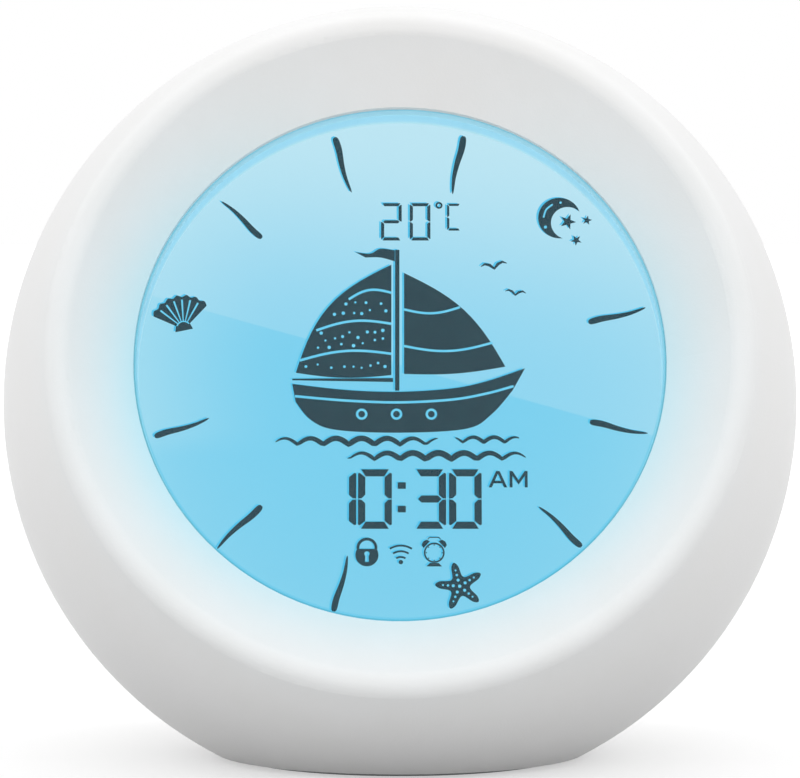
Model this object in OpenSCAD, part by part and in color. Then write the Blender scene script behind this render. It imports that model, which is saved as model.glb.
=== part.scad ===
// Ball-shaped bedside alarm clock with a night light.
// The front faces -Y, +Z is up, and the origin is on the table under the centre of the ball.

/* [Ball] */
// Outer radius of the ball
ball_r = 70; // [68:0.5:76]
// Height of the cap that is cut off the ball to give its flat underside
base_cut = 8.2; // [7:0.1:10]
// Wall thickness of both ball halves
wall = 2.2; // [1.8:0.1:2.8]
// Distance of the joint between the halves behind the ball's centre
split_back = 6; // [4:0.5:10]
// Height of the cap that is cut off the back of the ball
rear_cut = 18; // [16:0.5:19]
// Width of the tongue that centres the halves on each other
tongue_w = 3; // [2:0.5:4]
// Width of the shadow gap between the halves
seam_gap = 0.4; // [0.3:0.1:0.6]

/* [Dish] */
// Lean of the face back from upright, in degrees
face_tilt = 18; // [15:0.5:20]
// Height of the cap that would reach down to the display opening
face_cut = 42.1; // [40:0.1:44]
// Slope of the dish from the opening to the lip, in degrees
dish_slope = 38.2; // [34:0.1:42]
// Length of the dish's slope, from the opening to where the lip begins
dish_l = 13.2; // [11:0.1:15]
// Radius of the rounded lip
lip_r = 3; // [2.6:0.1:4]
// Thickness of the shell's rim in front of the window
rim_t = 1.2; // [1:0.1:2]

/* [Display] */
// Width by which the clear window laps behind the rim of the opening
window_lap = 2.2; // [1.6:0.1:2.8]
// Thickness of the clear window
window_t = 1.5; // [1:0.1:2]
// Thickness of the adhesive ring
tape_t = 0.2; // [0.1:0.05:0.4]
// Depth of the lit wall between window and panel
well_depth = 4.7; // [3:0.1:6]
// Thickness of the display frame's wall around the panel
frame_wall = 1; // [0.8:0.1:1.2]
// Width of the ledge that the panel rests against
frame_ledge = 1.8; // [1.2:0.1:2.4]
// Thickness of each of the panel's two glasses
glass_t = 1.1; // [0.7:0.1:1.3]
// Thickness of the diffuser sheet
diffuser_t = 0.5; // [0.3:0.1:0.8]
// Thickness of the light guide
guide_t = 3; // [2:0.5:4]
// Thickness of the reflector sheet
reflector_t = 0.3; // [0.2:0.1:0.5]
// Height of the flats on the edge of the light guide
flat_cut = 4.3; // [4:0.1:5]
// Gap between the reflector and the main board
board_gap = 1.4; // [1:0.1:2.5]
// Thickness of the circuit boards
board_t = 1.6; // [1:0.1:2]

/* [Night light] */
// Gap between the light ring and the wall of the ball
ring_gap = 2.8; // [1:0.1:3.4]
// Number of lights on the ring
light_count = 16; // [8:8:16]
// Length of one light
light_l = 3.5; // [2:0.1:3.6]
// Width of one light
light_w = 2.8; // [1.6:0.1:3]

/* [Rear panel] */
// Width of the rear edge round the recess for the panel
rear_rim = 2.9; // [2.4:0.1:3.4]
// Radius of the rounded rear edge
rear_edge_r = 1.2; // [0.8:0.1:1.4]
// Depth of the panel below the rear edge
panel_inset = 1.2; // [1:0.1:2]
// Thickness of the rear panel
panel_t = 2.4; // [2:0.1:3]
// Width of the ledge behind the panel
ledge_w = 4.5; // [4.2:0.1:5]
// Thickness of the ledges
ledge_t = 2; // [1.5:0.1:3]
// Radius of the perforated speaker grille
grille_r = 17.8; // [16.5:0.1:18]
// Thickness of the speaker grille
grille_t = 1; // [0.8:0.1:1.4]
// Radius of one grille hole
grille_hole_r = 0.8; // [0.5:0.1:1]
// Distance between the rings of grille holes
grille_pitch = 3.1; // [2.8:0.1:3.4]

/* [Keys] */
// Radius of a key
key_r = 4.5; // [3.5:0.1:5]
// Distance of the keys from the wall of the recess
key_inset = 12; // [11:0.1:13]
// Angle between neighbouring keys
key_step = 30; // [27:1:32]
// Travel of a key
key_travel = 0.8; // [0.4:0.1:1]
// Height of a key above the panel
key_proud = 0.9; // [0.5:0.1:1]
// Width of a key's flange beyond its shaft
key_flange = 1.5; // [1:0.1:1.8]
// Thickness of a key's flange
flange_t = 1; // [0.6:0.1:1.4]

/* [Speaker] */
// Outer radius of the speaker
speaker_r = 17; // [16:0.1:17.2]
// Depth of the speaker's basket
basket_depth = 9; // [7:0.5:12]
// Radius of the speaker's magnet
magnet_r = 9; // [7:0.5:10]
// Thickness of the magnet
magnet_t = 6; // [4:0.5:9]

/* [Base] */
// Width of the shells' flat rim round the base cover
base_rim = 3.2; // [3:0.1:4]
// Thickness of the base cover
cover_t = 3.4; // [3:0.1:4]
// Height by which the foot ring lifts the ball
foot_lift = 0.8; // [0.5:0.1:1.5]
// Width of the foot ring
foot_w = 5.6; // [5.4:0.1:6]
// Radius of the backup cell
cell_r = 10; // [8:0.1:10.2]
// Thickness of the backup cell
cell_t = 3.2; // [2:0.1:3.6]

/* [Fits] */
// Gap round pieces that move
run_gap = 0.3; // [0.3:0.05:0.4]
// Gap round pieces that are fixed
slip_gap = 0.2; // [0.1:0.05:0.3]

/* [Hidden] */
$fn = 96;

// Places along the face's own axis, counted from the ball's centre
opening_d = ball_r - face_cut;
window_front = opening_d - rim_t - tape_t;
window_back = window_front - window_t;
panel_front = window_back - well_depth;
panel_back = panel_front - 2 * glass_t;
guide_front = panel_back - diffuser_t;
guide_back = guide_front - guide_t;
reflector_back = guide_back - reflector_t;
board_front = reflector_back - board_gap;
board_back = board_front - board_t;
ring_front = panel_front - slip_gap;
ring_back = ring_front - board_t;

// The lip's arc touches both the dish and the ball, and the opening lies at the dish's foot
dish_dir = [cos(dish_slope), sin(dish_slope)];
dish_down = [sin(dish_slope), -cos(dish_slope)];
lip_d = opening_d + dish_l * dish_dir[1] + lip_r * dish_down[1];
lip_centre = [sqrt(pow(ball_r - lip_r, 2) - lip_d * lip_d), lip_d];
dish_end = lip_centre - lip_r * dish_down;
opening_edge = dish_end - dish_l * dish_dir;
opening_r = opening_edge[0];

// Radii of the display's pieces and of the light ring round it
window_r = opening_r + window_lap;
window_seat_r = window_r + run_gap;
frame_out = window_r + slip_gap / 2;
frame_front = window_back - slip_gap / 2;
frame_bore = frame_out - frame_wall;
glass_r = frame_bore - slip_gap;
glass_step = 0.1;
guide_flat = glass_r - flat_cut;
board_lug_r = 2.6;
board_lug_circle = frame_out + board_lug_r;
board_lug_angles = [15, 165, 195, 345];
ring_in = board_lug_circle + board_lug_r + slip_gap;
ring_out = sqrt(pow(ball_r - wall, 2) - ring_front * ring_front) - ring_gap;
lug_t = 2;
lug_front = ring_front + lug_t;
lug_r = 3;
lug_circle = ring_in + 2.1;
led_w = 3;
led_depth = 1.8;
led_step = 6;
zebra_l = 24;
chip_w = 12;
radio_w = 18;
radio_l = 24;
radio_h = 2.2;

// Heights above the table, and radii of the base
base_z = foot_lift;
centre_z = base_z + ball_r - base_cut;
cover_top = base_z + cover_t;
cover_r = sqrt(ball_r * ball_r - pow(ball_r - base_cut, 2)) - base_rim - slip_gap;
foot_out = cover_r - 0.5;
foot_in = foot_out - foot_w;
base_circle = (foot_out + foot_in) / 2;

// Places along the rear axis, counted from the ball's centre, and radii of the rear panel
rear_back = ball_r - rear_cut;
seam_r = sqrt(ball_r * ball_r - split_back * split_back) - seam_gap;
recess_r = sqrt(ball_r * ball_r - rear_back * rear_back) - rear_rim;
rear_edge_d = rear_back - rear_edge_r;
rear_edge = [sqrt(pow(ball_r - rear_edge_r, 2) - rear_edge_d * rear_edge_d), rear_edge_d];
recess_wall = 2;
panel_outer = rear_back - panel_inset;
panel_inner = panel_outer - panel_t;
panel_r = recess_r - slip_gap;
panel_screw_circle = recess_r - 2.35;
ledge_front = panel_inner - ledge_t;
ledge_in = recess_r - ledge_w;
key_circle = recess_r - key_inset;
key_top = panel_outer + key_proud;
finger_depth = 0.35;
key_flange_top = panel_inner - run_gap;
key_flange_low = key_flange_top - flange_t;
switch_top = key_flange_low - key_travel - run_gap;
switch_h = 1.4;
key_board_top = switch_top - switch_h;
key_board_low = key_board_top - board_t;
key_board_out = ledge_in - 1.2;
key_board_circle = key_board_out - 3.8;
key_board_angles = [60, 120, 240, 300];
switch_w = 6;
plunger_r = 1.6;
socket_half_w = 4.5;
socket_half_h = 1.65;
socket_gap = 0.4;
socket_wall = 0.3;
vent_w = 1.2;
vent_l = 8;
plunger_low = key_board_top + run_gap + key_travel;
key_angles = [180 - key_step, 180, 180 + key_step, key_step, 0, -key_step];

// Screws
screw_r = 1.25;
small_screw_r = 0.9;
shell_boss_r = 3.5;
shell_screw_circle = frame_out + shell_boss_r + 5.5;
shell_web = 4;
shell_screw_l = 14;
diagonals = [45, 135, 225, 315];
crosses = [0, 90, 180, 270];
roll_out = 6;
clamp_boss_r = 2;
clamp_circle = speaker_r + clamp_boss_r + run_gap;
key_board_in = clamp_circle + clamp_boss_r + 0.7;
clamp_angles = [90, 210, 330];
flange_h = 1.6;
clamp_t = 1.5;
basket_front = panel_inner - flange_h;
basket_back = basket_front - basket_depth;

// Base and cell
base_boss_r = 3.2;
base_boss_h = 8;
base_head_h = 1.2;
foot_seat = base_z + foot_lift;
base_hole_top = cover_top + base_boss_h - 1.5;
base_screw_l = base_hole_top - foot_seat - base_head_h - 0.5;
door_r = cell_r + 2.7;
door_depth = 1.8;
door_roof = base_z + door_depth;
cell_low = door_roof + 2.6;
cup_r = cell_r + slip_gap + 0.4;
cup_roof = cell_low + cell_t + 1.2;
cup_wall = 1.4;
tab_y = door_r + 2.6;
tab_r = 3.1;

// Connectors on the back of the main board and on the key board
plug_h = 3;
ribbon_w = 12;
ribbon_t = 0.8;
lead_r = 0.6;
plug_w = 6;
plug_d = 4.5;
plug_wall = 1;
ribbon_up = -22;
ribbon_level = 2 - key_circle;
light_plug = [frame_out - 10, 0];
cell_plug = [10, 16 - frame_out];

module face_frame() translate([0, 0, centre_z]) rotate([90 - face_tilt, 0, 0]) children();
module rear_frame() translate([0, 0, centre_z]) rotate([90, 0, 180]) children();
module at_angles(angles, r) for (a = angles) rotate([0, 0, a]) translate([r, 0, 0]) children();

// A disc between two places along its own axis
module disc(r, low, high) translate([0, 0, low]) cylinder(r = r, h = high - low);
module ring(r_out, r_in, low, high) difference() {
    disc(r_out, low, high);
    disc(r_in, low - 1, high + 1);
}

// A screw with its head's underside at height 0 and its shank pointing down
module screw(r, length, head_r, head_h) {
    translate([0, 0, -length]) cylinder(r = r, h = length);
    difference() {
        cylinder(r = head_r, h = head_h);
        for (turn = [0, 90]) rotate([0, 0, turn])
            translate([-0.7 * head_r, -0.2, 0.5 * head_h]) cube([1.4 * head_r, 0.4, head_h]);
    }
}

// ---- Ball halves ----

// The outline of what the dish takes away, set back from the surface by depth
module dish_cut(depth, flat_d, flat_r) {
    edge = opening_edge + depth * dish_down;
    flat_end = edge + (flat_r - edge[0]) / dish_dir[0] * dish_dir;
    polygon([[-1, flat_d], [flat_r, flat_d], flat_end, edge + ball_r / 2 * dish_dir,
        [2 * ball_r, 2 * ball_r], [-1, 2 * ball_r]]);
}

module solid_profile() {
    difference() {
        circle(r = ball_r);
        polygon([[-1, opening_d], opening_edge, dish_end, lip_centre, 1.3 * lip_centre,
            [2 * ball_r, 2 * ball_r], [-1, 2 * ball_r]]);
        translate([-2 * ball_r, -2 * ball_r]) square([2 * ball_r, 4 * ball_r]);
    }
    translate(lip_centre) circle(r = lip_r);
}

module cavity_profile() difference() {
    circle(r = ball_r - wall);
    dish_cut(wall, opening_d - rim_t, window_seat_r);
    translate([-2 * ball_r, -2 * ball_r]) square([2 * ball_r, 4 * ball_r]);
}

// Halfway through the wall, where posts and ledges end inside it
module core_profile() difference() {
    circle(r = ball_r - wall / 2);
    dish_cut(wall / 2, opening_d - rim_t / 2, window_seat_r);
    translate([-2 * ball_r, -2 * ball_r]) square([2 * ball_r, 4 * ball_r]);
}

module behind(y) translate([-2 * ball_r, y, -ball_r]) cube([4 * ball_r, 4 * ball_r, 4 * ball_r]);
module ahead(y) translate([-2 * ball_r, y - 4 * ball_r, -ball_r]) cube([4 * ball_r, 4 * ball_r, 4 * ball_r]);
module below(z) translate([-2 * ball_r, -2 * ball_r, z - 4 * ball_r])
    cube([4 * ball_r, 4 * ball_r, 4 * ball_r]);

// Columns for the four long screws that join the halves, and the holes in them
module shell_posts(r, from_b, to_b) rear_frame() at_angles(diagonals, shell_screw_circle)
    disc(r, from_b, to_b);

// The ledge that carries the base cover, with its four screw posts
module base_ledge() {
    translate([0, 0, cover_top]) difference() {
        cylinder(r = cover_r + 12, h = ledge_t);
        translate([0, 0, -1]) cylinder(r = foot_in, h = ledge_t + 2);
    }
    at_angles(diagonals, base_circle) disc(base_boss_r, cover_top, cover_top + base_boss_h);
}

module base_holes() {
    at_angles(diagonals, base_circle) disc(screw_r, base_z, base_hole_top);
    disc(cover_r + slip_gap, -1, cover_top);
}

module front_shell() color("whitesmoke") difference() {
    union() {
        face_frame() rotate_extrude() difference() {
            solid_profile();
            cavity_profile();
        }
        intersection() {
            union() {
                shell_posts(shell_boss_r, -ball_r, split_back);
                face_frame() at_angles(crosses, lug_circle) disc(lug_r, lug_front, opening_d + 8);
                base_ledge();
            }
            face_frame() rotate_extrude() core_profile();
        }
    }
    behind(split_back);
    below(base_z);
    rear_frame() ring(ball_r + 1, seam_r, split_back - seam_gap, split_back + 1);
    face_frame() disc(opening_r, opening_d - 3 * rim_t, ball_r);
    shell_posts(screw_r, split_back - shell_screw_l + shell_web, split_back + 1);
    face_frame() at_angles(crosses, lug_circle) disc(small_screw_r, lug_front - 1, lug_front + 5);
    base_holes();
}

module rear_profile() difference() {
    union() {
        difference() {
            intersection() {
                circle(r = ball_r);
                translate([0, split_back]) square([ball_r, rear_back - split_back]);
            }
            polygon([rear_edge, [rear_edge[0], 2 * ball_r], [2 * ball_r, 2 * ball_r], 1.3 * rear_edge]);
        }
        translate(rear_edge) circle(r = rear_edge_r);
    }
    difference() {
        circle(r = ball_r - wall);
        translate([0, ledge_front]) square([recess_r + recess_wall, ball_r]);
    }
    translate([-1, panel_inner]) square([recess_r + 1, ball_r]);
    translate([-1, -ball_r]) square([ledge_in + 1, 2 * ball_r]);
}

module tongue_profile() difference() {
    union() {
        intersection() {
            circle(r = ball_r - wall - slip_gap);
            translate([0, split_back - tongue_w]) square([ball_r, 2 * tongue_w]);
        }
        intersection() {
            circle(r = ball_r - wall + 0.1);
            translate([0, split_back]) square([ball_r, tongue_w]);
        }
    }
    circle(r = ball_r - 2 * wall);
}

module rear_shell() color("whitesmoke") difference() {
    union() {
        rear_frame() rotate_extrude() rear_profile();
        difference() {
            rear_frame() rotate_extrude() tongue_profile();
            below(cover_top + ledge_t + 6);
        }
        intersection() {
            union() {
                shell_posts(shell_boss_r + 0.7, split_back, ball_r);
                difference() {
                    base_ledge();
                    ahead(split_back);
                }
            }
            translate([0, 0, centre_z]) sphere(r = ball_r - wall / 2);
        }
        rear_frame() at_angles(diagonals, panel_screw_circle)
            disc(2.6, ledge_front - 6, ledge_front + 0.5);
    }
    below(base_z);
    shell_posts(screw_r + slip_gap, split_back - 1, ball_r);
    shell_posts(2 * screw_r + run_gap, split_back + shell_web, ball_r);
    rear_frame() at_angles(diagonals, panel_screw_circle)
        disc(small_screw_r, ledge_front - 5, panel_inner + 1);
    base_holes();
}

module shell_screws() color("silver") rear_frame() at_angles(diagonals, shell_screw_circle)
    translate([0, 0, split_back + shell_web]) screw(screw_r, shell_screw_l, 2 * screw_r, 1.6);

// ---- Display, counted along the face's axis ----

module display_lens() color("lightcyan") face_frame()
    disc(window_r, window_back, window_front);

module lens_tape() color("dimgray") face_frame()
    ring(window_r - slip_gap, opening_r + slip_gap, window_front, window_front + tape_t);

module display_frame() color("azure") face_frame() difference() {
    union() {
        disc(frame_out, board_front, frame_front);
        at_angles(crosses, lug_circle) {
            disc(lug_r, ring_front, lug_front);
            translate([frame_out - lug_circle - 1, -lug_r, ring_front])
                cube([lug_circle - frame_out + 1, 2 * lug_r, lug_t]);
        }
        at_angles(board_lug_angles, board_lug_circle) disc(board_lug_r, board_front, ring_back - 0.8);
        at_angles(board_lug_angles, frame_out) translate([-0.5, -board_lug_r, board_front])
            cube([board_lug_r + 0.5, 2 * board_lug_r, ring_back - 0.8 - board_front]);
    }
    disc(frame_bore - frame_ledge, board_front - 1, window_back + 1);
    disc(frame_bore, board_front - 1, panel_front);
    at_angles(crosses, lug_circle) disc(small_screw_r + slip_gap, ring_front - 1, lug_front + 1);
    at_angles(board_lug_angles, board_lug_circle) disc(small_screw_r, board_front - 1, board_front + 4);
}

// A round sheet with a flat at the bottom, and one at the top when both is true
module flatted(r, low, high, both) difference() {
    disc(r, low, high);
    translate([-r, -2 * r, low - 1]) cube([2 * r, 2 * r - guide_flat, high - low + 2]);
    if (both) translate([-r, guide_flat, low - 1]) cube([2 * r, r, high - low + 2]);
}

module lcd_panel() color("lightblue") face_frame() {
    disc(glass_r, panel_back + glass_t, panel_front);
    flatted(glass_r - glass_step, panel_back, panel_back + glass_t, false);
}

module diffuser_sheet() color("white") face_frame()
    flatted(glass_r, guide_front, panel_back, false);

module light_guide() color("lightcyan") face_frame()
    flatted(glass_r, guide_back, guide_front, true);

module reflector_sheet() color("gainsboro") face_frame()
    flatted(glass_r, reflector_back, guide_back, true);

module backlight_leds() color("khaki") face_frame() for (place = [-2:2])
    translate([led_step * place - led_w / 2, guide_flat + slip_gap, board_front])
        cube([led_w, led_depth, guide_front - slip_gap - board_front]);

module zebra_strip() color("dimgray") face_frame()
    translate([-zebra_l / 2, -guide_flat - 2.6, board_front])
        cube([zebra_l, 1.8, panel_back + glass_t - board_front]);

module main_board() color("darkgreen") face_frame() difference() {
    union() {
        disc(frame_out, board_back, board_front);
        at_angles(board_lug_angles, board_lug_circle) disc(board_lug_r, board_back, board_front);
        at_angles(board_lug_angles, frame_out) translate([-0.5, -board_lug_r, board_back])
            cube([board_lug_r + 0.5, 2 * board_lug_r, board_t]);
    }
    at_angles(board_lug_angles, board_lug_circle)
        disc(small_screw_r + slip_gap, board_back - 1, board_front + 1);
}

module board_screws() color("silver") face_frame() at_angles(board_lug_angles, board_lug_circle)
    translate([0, 0, board_back]) mirror([0, 0, 1]) screw(small_screw_r, board_t + 3.6, 1.8, 1.1);

module controller() color("black") face_frame() {
    translate([-1.5 * chip_w, 2, board_back - chip_w / 10]) cube([chip_w, chip_w, chip_w / 10]);
    translate([-1.7 * chip_w, -1.2 * chip_w, board_back - 1]) cube([chip_w / 2, 0.4 * chip_w, 1]);
}

module radio_module() color("silver") face_frame() {
    translate([radio_w / 2, radio_w / 2, board_back - board_t / 2]) cube([radio_w, radio_l, board_t / 2]);
    translate([radio_w / 2 + 1.5, radio_w / 2 - 1, board_back - board_t / 2 - radio_h])
        cube([radio_w - 3, radio_l * 2 / 3, radio_h]);
}

// A plug seen from above, centred, standing on height 0
module plug(w, d) difference() {
    translate([-w / 2, -d / 2, 0]) cube([w, d, plug_h]);
    translate([plug_wall - w / 2, d / 2 - 0.8, plug_wall]) cube([w - 2 * plug_wall, 1, plug_h]);
}

module board_plugs() color("ivory") {
    face_frame() translate([0, 0, board_back]) mirror([0, 0, 1]) {
        translate([0, ribbon_up, 0]) plug(ribbon_w + 3, plug_d);
        translate(light_plug) plug(plug_w, plug_d);
        translate(cell_plug) plug(plug_w, plug_d);
    }
    rear_frame() translate([0, 0, key_board_low]) mirror([0, 0, 1]) {
        translate([0, ribbon_level, 0]) plug(ribbon_w + 3, plug_d);
        translate([0, key_board_circle - 4, 0]) plug(plug_w, plug_d);
    }
}

module display_screws() color("silver") face_frame() at_angles(crosses, lug_circle)
    translate([0, 0, ring_back]) mirror([0, 0, 1])
        screw(small_screw_r, board_t + lug_t + 4.5, 1.8, 1.1);

// ---- Night light ----

module light_board() color("white") difference() {
    face_frame() ring(ring_out, ring_in, ring_back, ring_front);
    face_frame() at_angles(crosses, lug_circle)
        disc(small_screw_r + slip_gap, ring_back - 1, ring_front + 1);
    shell_posts(shell_boss_r + 0.8, -ball_r, split_back);
}

module light_leds() color("lemonchiffon") face_frame()
    at_angles([for (i = [0:light_count - 1]) (i + 0.5) * 360 / light_count], ring_out - 1 - light_l / 2)
        translate([-light_l / 2, -light_w / 2, ring_front]) cube([light_l, light_w, light_w / 2]);

// ---- Rear panel ----

module key_places(i) rear_frame() rotate([0, 0, key_angles[i]]) translate([key_circle, 0, 0])
    children();

module rear_panel() color("whitesmoke") difference() {
    rear_frame() difference() {
        union() {
            disc(panel_r, panel_inner, panel_outer);
            at_angles(clamp_angles, clamp_circle) disc(clamp_boss_r, basket_front, panel_inner + 0.5);
            at_angles(key_board_angles, key_board_circle) disc(2.2, key_board_top, panel_inner + 0.5);
        }
        disc(grille_r - 2.3, panel_inner - 1, panel_outer + 1);
        disc(grille_r + slip_gap, panel_outer - grille_t, panel_outer + 1);
        at_angles(clamp_angles, clamp_circle) disc(small_screw_r, basket_front - 1, panel_inner + 0.9);
        at_angles(key_board_angles, key_board_circle)
            disc(small_screw_r, key_board_top - 1, panel_inner + 0.9);
        at_angles(diagonals, panel_screw_circle) {
            disc(small_screw_r + slip_gap, panel_inner - 1, panel_outer + 1);
            disc(1.9, panel_outer - 1.1, panel_outer + 1);
        }
        translate([0, -key_circle, panel_inner - 1])
            socket_shape(socket_half_w + socket_gap, socket_half_h + socket_gap, panel_t + 2);
        for (slot = [-2:2])
            translate([2.5 * vent_w * slot - vent_w / 2, key_circle - vent_l / 2, panel_inner - 1])
                cube([vent_w, vent_l, panel_t + 2]);
    }
    for (i = [0:5]) key_places(i) disc(key_r + run_gap, panel_inner - 1, panel_outer + 1);
}

// A flat bar with round ends, half as wide as half_w, standing on height 0
module socket_shape(half_w, half_h, h) {
    for (side = [-1, 1]) translate([side * (half_w - half_h), 0, 0]) cylinder(r = half_h, h = h);
    translate([half_h - half_w, -half_h, 0]) cube([2 * (half_w - half_h), 2 * half_h, h]);
}

module panel_screws() color("silver") rear_frame() at_angles(diagonals, panel_screw_circle)
    translate([0, 0, panel_outer - 1.1]) screw(small_screw_r, panel_t + ledge_t + 2, 1.7, 1);

module speaker_grille() color("whitesmoke") rear_frame() difference() {
    disc(grille_r, panel_outer - grille_t, panel_outer);
    for (k = [0:4]) for (i = [0:max(0, 6 * k - 1)])
        rotate([0, 0, i * 60 / max(k, 1)]) translate([k * grille_pitch, 0, 0])
            disc(grille_hole_r, panel_outer - grille_t - 1, panel_outer + 1);
}

module speaker_basket() color("dimgray") rear_frame() difference() {
    union() {
        disc(speaker_r, basket_front, panel_inner);
        translate([0, 0, basket_back])
            cylinder(r1 = magnet_r, r2 = speaker_r - 1.6, h = basket_front - basket_back);
    }
    translate([0, 0, basket_back + 0.8])
        cylinder(r1 = magnet_r - 0.8, r2 = speaker_r - 2.4, h = basket_front - basket_back - 0.8);
    disc(speaker_r - 2.4, basket_front - 0.01, panel_inner + 1);
    at_angles(crosses, magnet_r + 2.6) disc(1.6, basket_back - 1, basket_front - 2);
}

module speaker_cone() color("black") rear_frame() rotate_extrude() difference() {
    union() {
        polygon([[0, basket_back + 5], [5, basket_back + 3.5], [speaker_r - roll_out, basket_front],
            [speaker_r - roll_out, basket_front + 0.4], [speaker_r - roll_out - 0.2, basket_front + 0.4],
            [5.1, basket_back + 4.2], [0, basket_back + 5.6]]);
        translate([speaker_r - 3.4, basket_front]) square([1, 0.4]);
        translate([speaker_r - roll_out / 2 - 1.7, basket_front + 0.2]) difference() {
            circle(r = roll_out / 2 - 1.5);
            circle(r = roll_out / 2 - 1.9);
            translate([-roll_out, -2 * roll_out]) square(2 * roll_out);
        }
    }
    translate([-10, basket_back]) square([10, 20]);
}

module speaker_magnet() color("gray") rear_frame() {
    disc(magnet_r - 0.5, basket_back - magnet_t, basket_back);
    disc(3.4, basket_back - magnet_t - 0.8, basket_back - magnet_t);
}

module speaker_clamp() color("dimgray") rear_frame() difference() {
    disc(clamp_circle + clamp_boss_r, basket_front - clamp_t, basket_front);
    disc(speaker_r - 1.4, basket_front - clamp_t - 1, basket_front + 1);
    at_angles(clamp_angles, clamp_circle)
        disc(small_screw_r + slip_gap, basket_front - clamp_t - 1, basket_front + 1);
}

module clamp_screws() color("silver") rear_frame() at_angles(clamp_angles, clamp_circle)
    translate([0, 0, basket_front - clamp_t]) mirror([0, 0, 1])
        screw(small_screw_r, clamp_t + flange_h + 0.6, 1.7, 1);

module key_board() color("darkgreen") rear_frame() difference() {
    ring(key_board_out, key_board_in, key_board_low, key_board_top);
    at_angles(key_board_angles, key_board_circle)
        disc(small_screw_r + slip_gap, key_board_low - 1, key_board_top + 1);
}

module key_board_screws() color("silver") rear_frame() at_angles(key_board_angles, key_board_circle)
    translate([0, 0, key_board_low]) mirror([0, 0, 1]) screw(small_screw_r, board_t + 3.5, 1.7, 1);

module switch_bodies() color("black") for (i = [0:5]) key_places(i) difference() {
    translate([-switch_w / 2, -switch_w / 2, key_board_top]) cube([switch_w, switch_w, switch_h]);
    disc(plunger_r + run_gap, key_board_top - 1, switch_top + 1);
}

// The key's top is hollowed for a fingertip
module key(i) color("gainsboro") key_places(i) difference() {
    union() {
        disc(key_r, key_flange_low, key_top - 0.4);
        translate([0, 0, key_top - 0.4]) cylinder(r1 = key_r, r2 = key_r - 0.4, h = 0.4);
        disc(key_r + key_flange, key_flange_low, key_flange_top);
    }
    translate([0, 0, key_top - finger_depth + 3.3 * key_r]) sphere(r = 3.3 * key_r);
}

module plunger(i) color("ivory") key_places(i) disc(plunger_r, plunger_low, key_flange_low);

module usb_socket() color("silver") rear_frame() translate([0, -key_circle, key_board_top]) {
    difference() {
        socket_shape(socket_half_w, socket_half_h, panel_outer - 0.2 - key_board_top);
        translate([0, 0, 2 * socket_gap])
            socket_shape(socket_half_w - socket_wall, socket_half_h - socket_wall, panel_outer);
    }
    translate([-3 * socket_gap - 2.1, -0.35, 0]) cube([6 * socket_gap + 4.2, 0.7, panel_outer - 1 - key_board_top]);
}

module temperature_sensor() color("black") rear_frame() translate([0, key_circle, key_board_top]) {
    cylinder(r = 1, h = 1.6);
    translate([0, 0, 1.6]) sphere(r = 1.3);
}

// ---- Cables ----

function unit(v) = v / norm(v);
function run_dir(p, i) = unit(p[min(i + 1, len(p) - 1)] - p[max(i - 1, 0)]);

// A round lead through points, as one closed solid with eight sides. It bends mostly about axis
module lead(p, r, axis) {
    across = [for (i = [0:len(p) - 1]) unit(cross(run_dir(p, i), axis))];
    other = [for (i = [0:len(p) - 1]) cross(run_dir(p, i), across[i])];
    points = [for (i = [0:len(p) - 1]) for (k = [0:7])
        p[i] + r * (cos(45 * k) * across[i] + sin(45 * k) * other[i])];
    last = 8 * (len(p) - 1);
    sides = [for (i = [0:len(p) - 2]) for (k = [0:7]) for (half = [0, 1])
        half == 0 ? [8 * i + k, 8 * i + (k + 1) % 8, 8 * i + 8 + k]
            : [8 * i + (k + 1) % 8, 8 * i + 8 + (k + 1) % 8, 8 * i + 8 + k]];
    ends = [[for (k = [7:-1:0]) k], [for (k = [0:7]) last + k]];
    polyhedron(points = points, faces = concat(sides, ends), convexity = 6);
}

// Places on the face and on the rear as points of the whole object
function from_face(p) = [p[0], p[1] * sin(face_tilt) - p[2] * cos(face_tilt),
    centre_z + p[1] * cos(face_tilt) + p[2] * sin(face_tilt)];
function from_rear(p) = [-p[0], p[2], centre_z + p[1]];

module ribbon_cable() color("lightgray") {
    start = from_face([0, ribbon_up, board_back - plug_h]);
    end = from_rear([0, ribbon_level, key_board_low - plug_h]);
    slope = tan(face_tilt);
    bend_y = start[1] + (start[2] - end[2]) / slope;
    half = ribbon_t / 2;
    translate([ribbon_w / 2, 0, 0]) rotate([90, 0, -90]) linear_extrude(ribbon_w)
        polygon([[-start[1] - half * sin(face_tilt), start[2] + half * cos(face_tilt)],
            [-bend_y - half * tan(face_tilt / 2), end[2] + half], [-end[1], end[2] + half],
            [-end[1], end[2] - half], [-bend_y + half * tan(face_tilt / 2), end[2] - half],
            [-start[1] + half * sin(face_tilt), start[2] - half * cos(face_tilt)]]);
}

module speaker_leads() color("firebrick") for (side = [-1, 1]) {
    x = 1.6 * side;
    low = magnet_r + 1.2;
    high = key_board_circle - 4;
    start_b = basket_back + 0.4;
    end_b = key_board_low - plug_h;
    lead([for (p = [[low, start_b], [low, start_b - 5], [low + 4, start_b - 9],
        [(low + high) / 2, start_b - 10], [high - 4, end_b - 9], [high, end_b - 5], [high, end_b]])
        from_rear([x, p[0], p[1]])], lead_r, [1, 0, 0]);
}

module light_leads() color("firebrick") for (side = [-1, 1]) {
    start = [ring_in + 4, 5 + 1.6 * side, ring_back];
    end = [light_plug[0], light_plug[1] + 1.6 * side, board_back - plug_h];
    lead([for (p = [start, start - [0, 0, 5], start - [5, 1, 10], end + [6, 2, -6], end - [0, 0, 5], end])
        from_face(p)], lead_r, from_face([0, 1, 0]) - from_face([0, 0, 0]));
}

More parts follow.
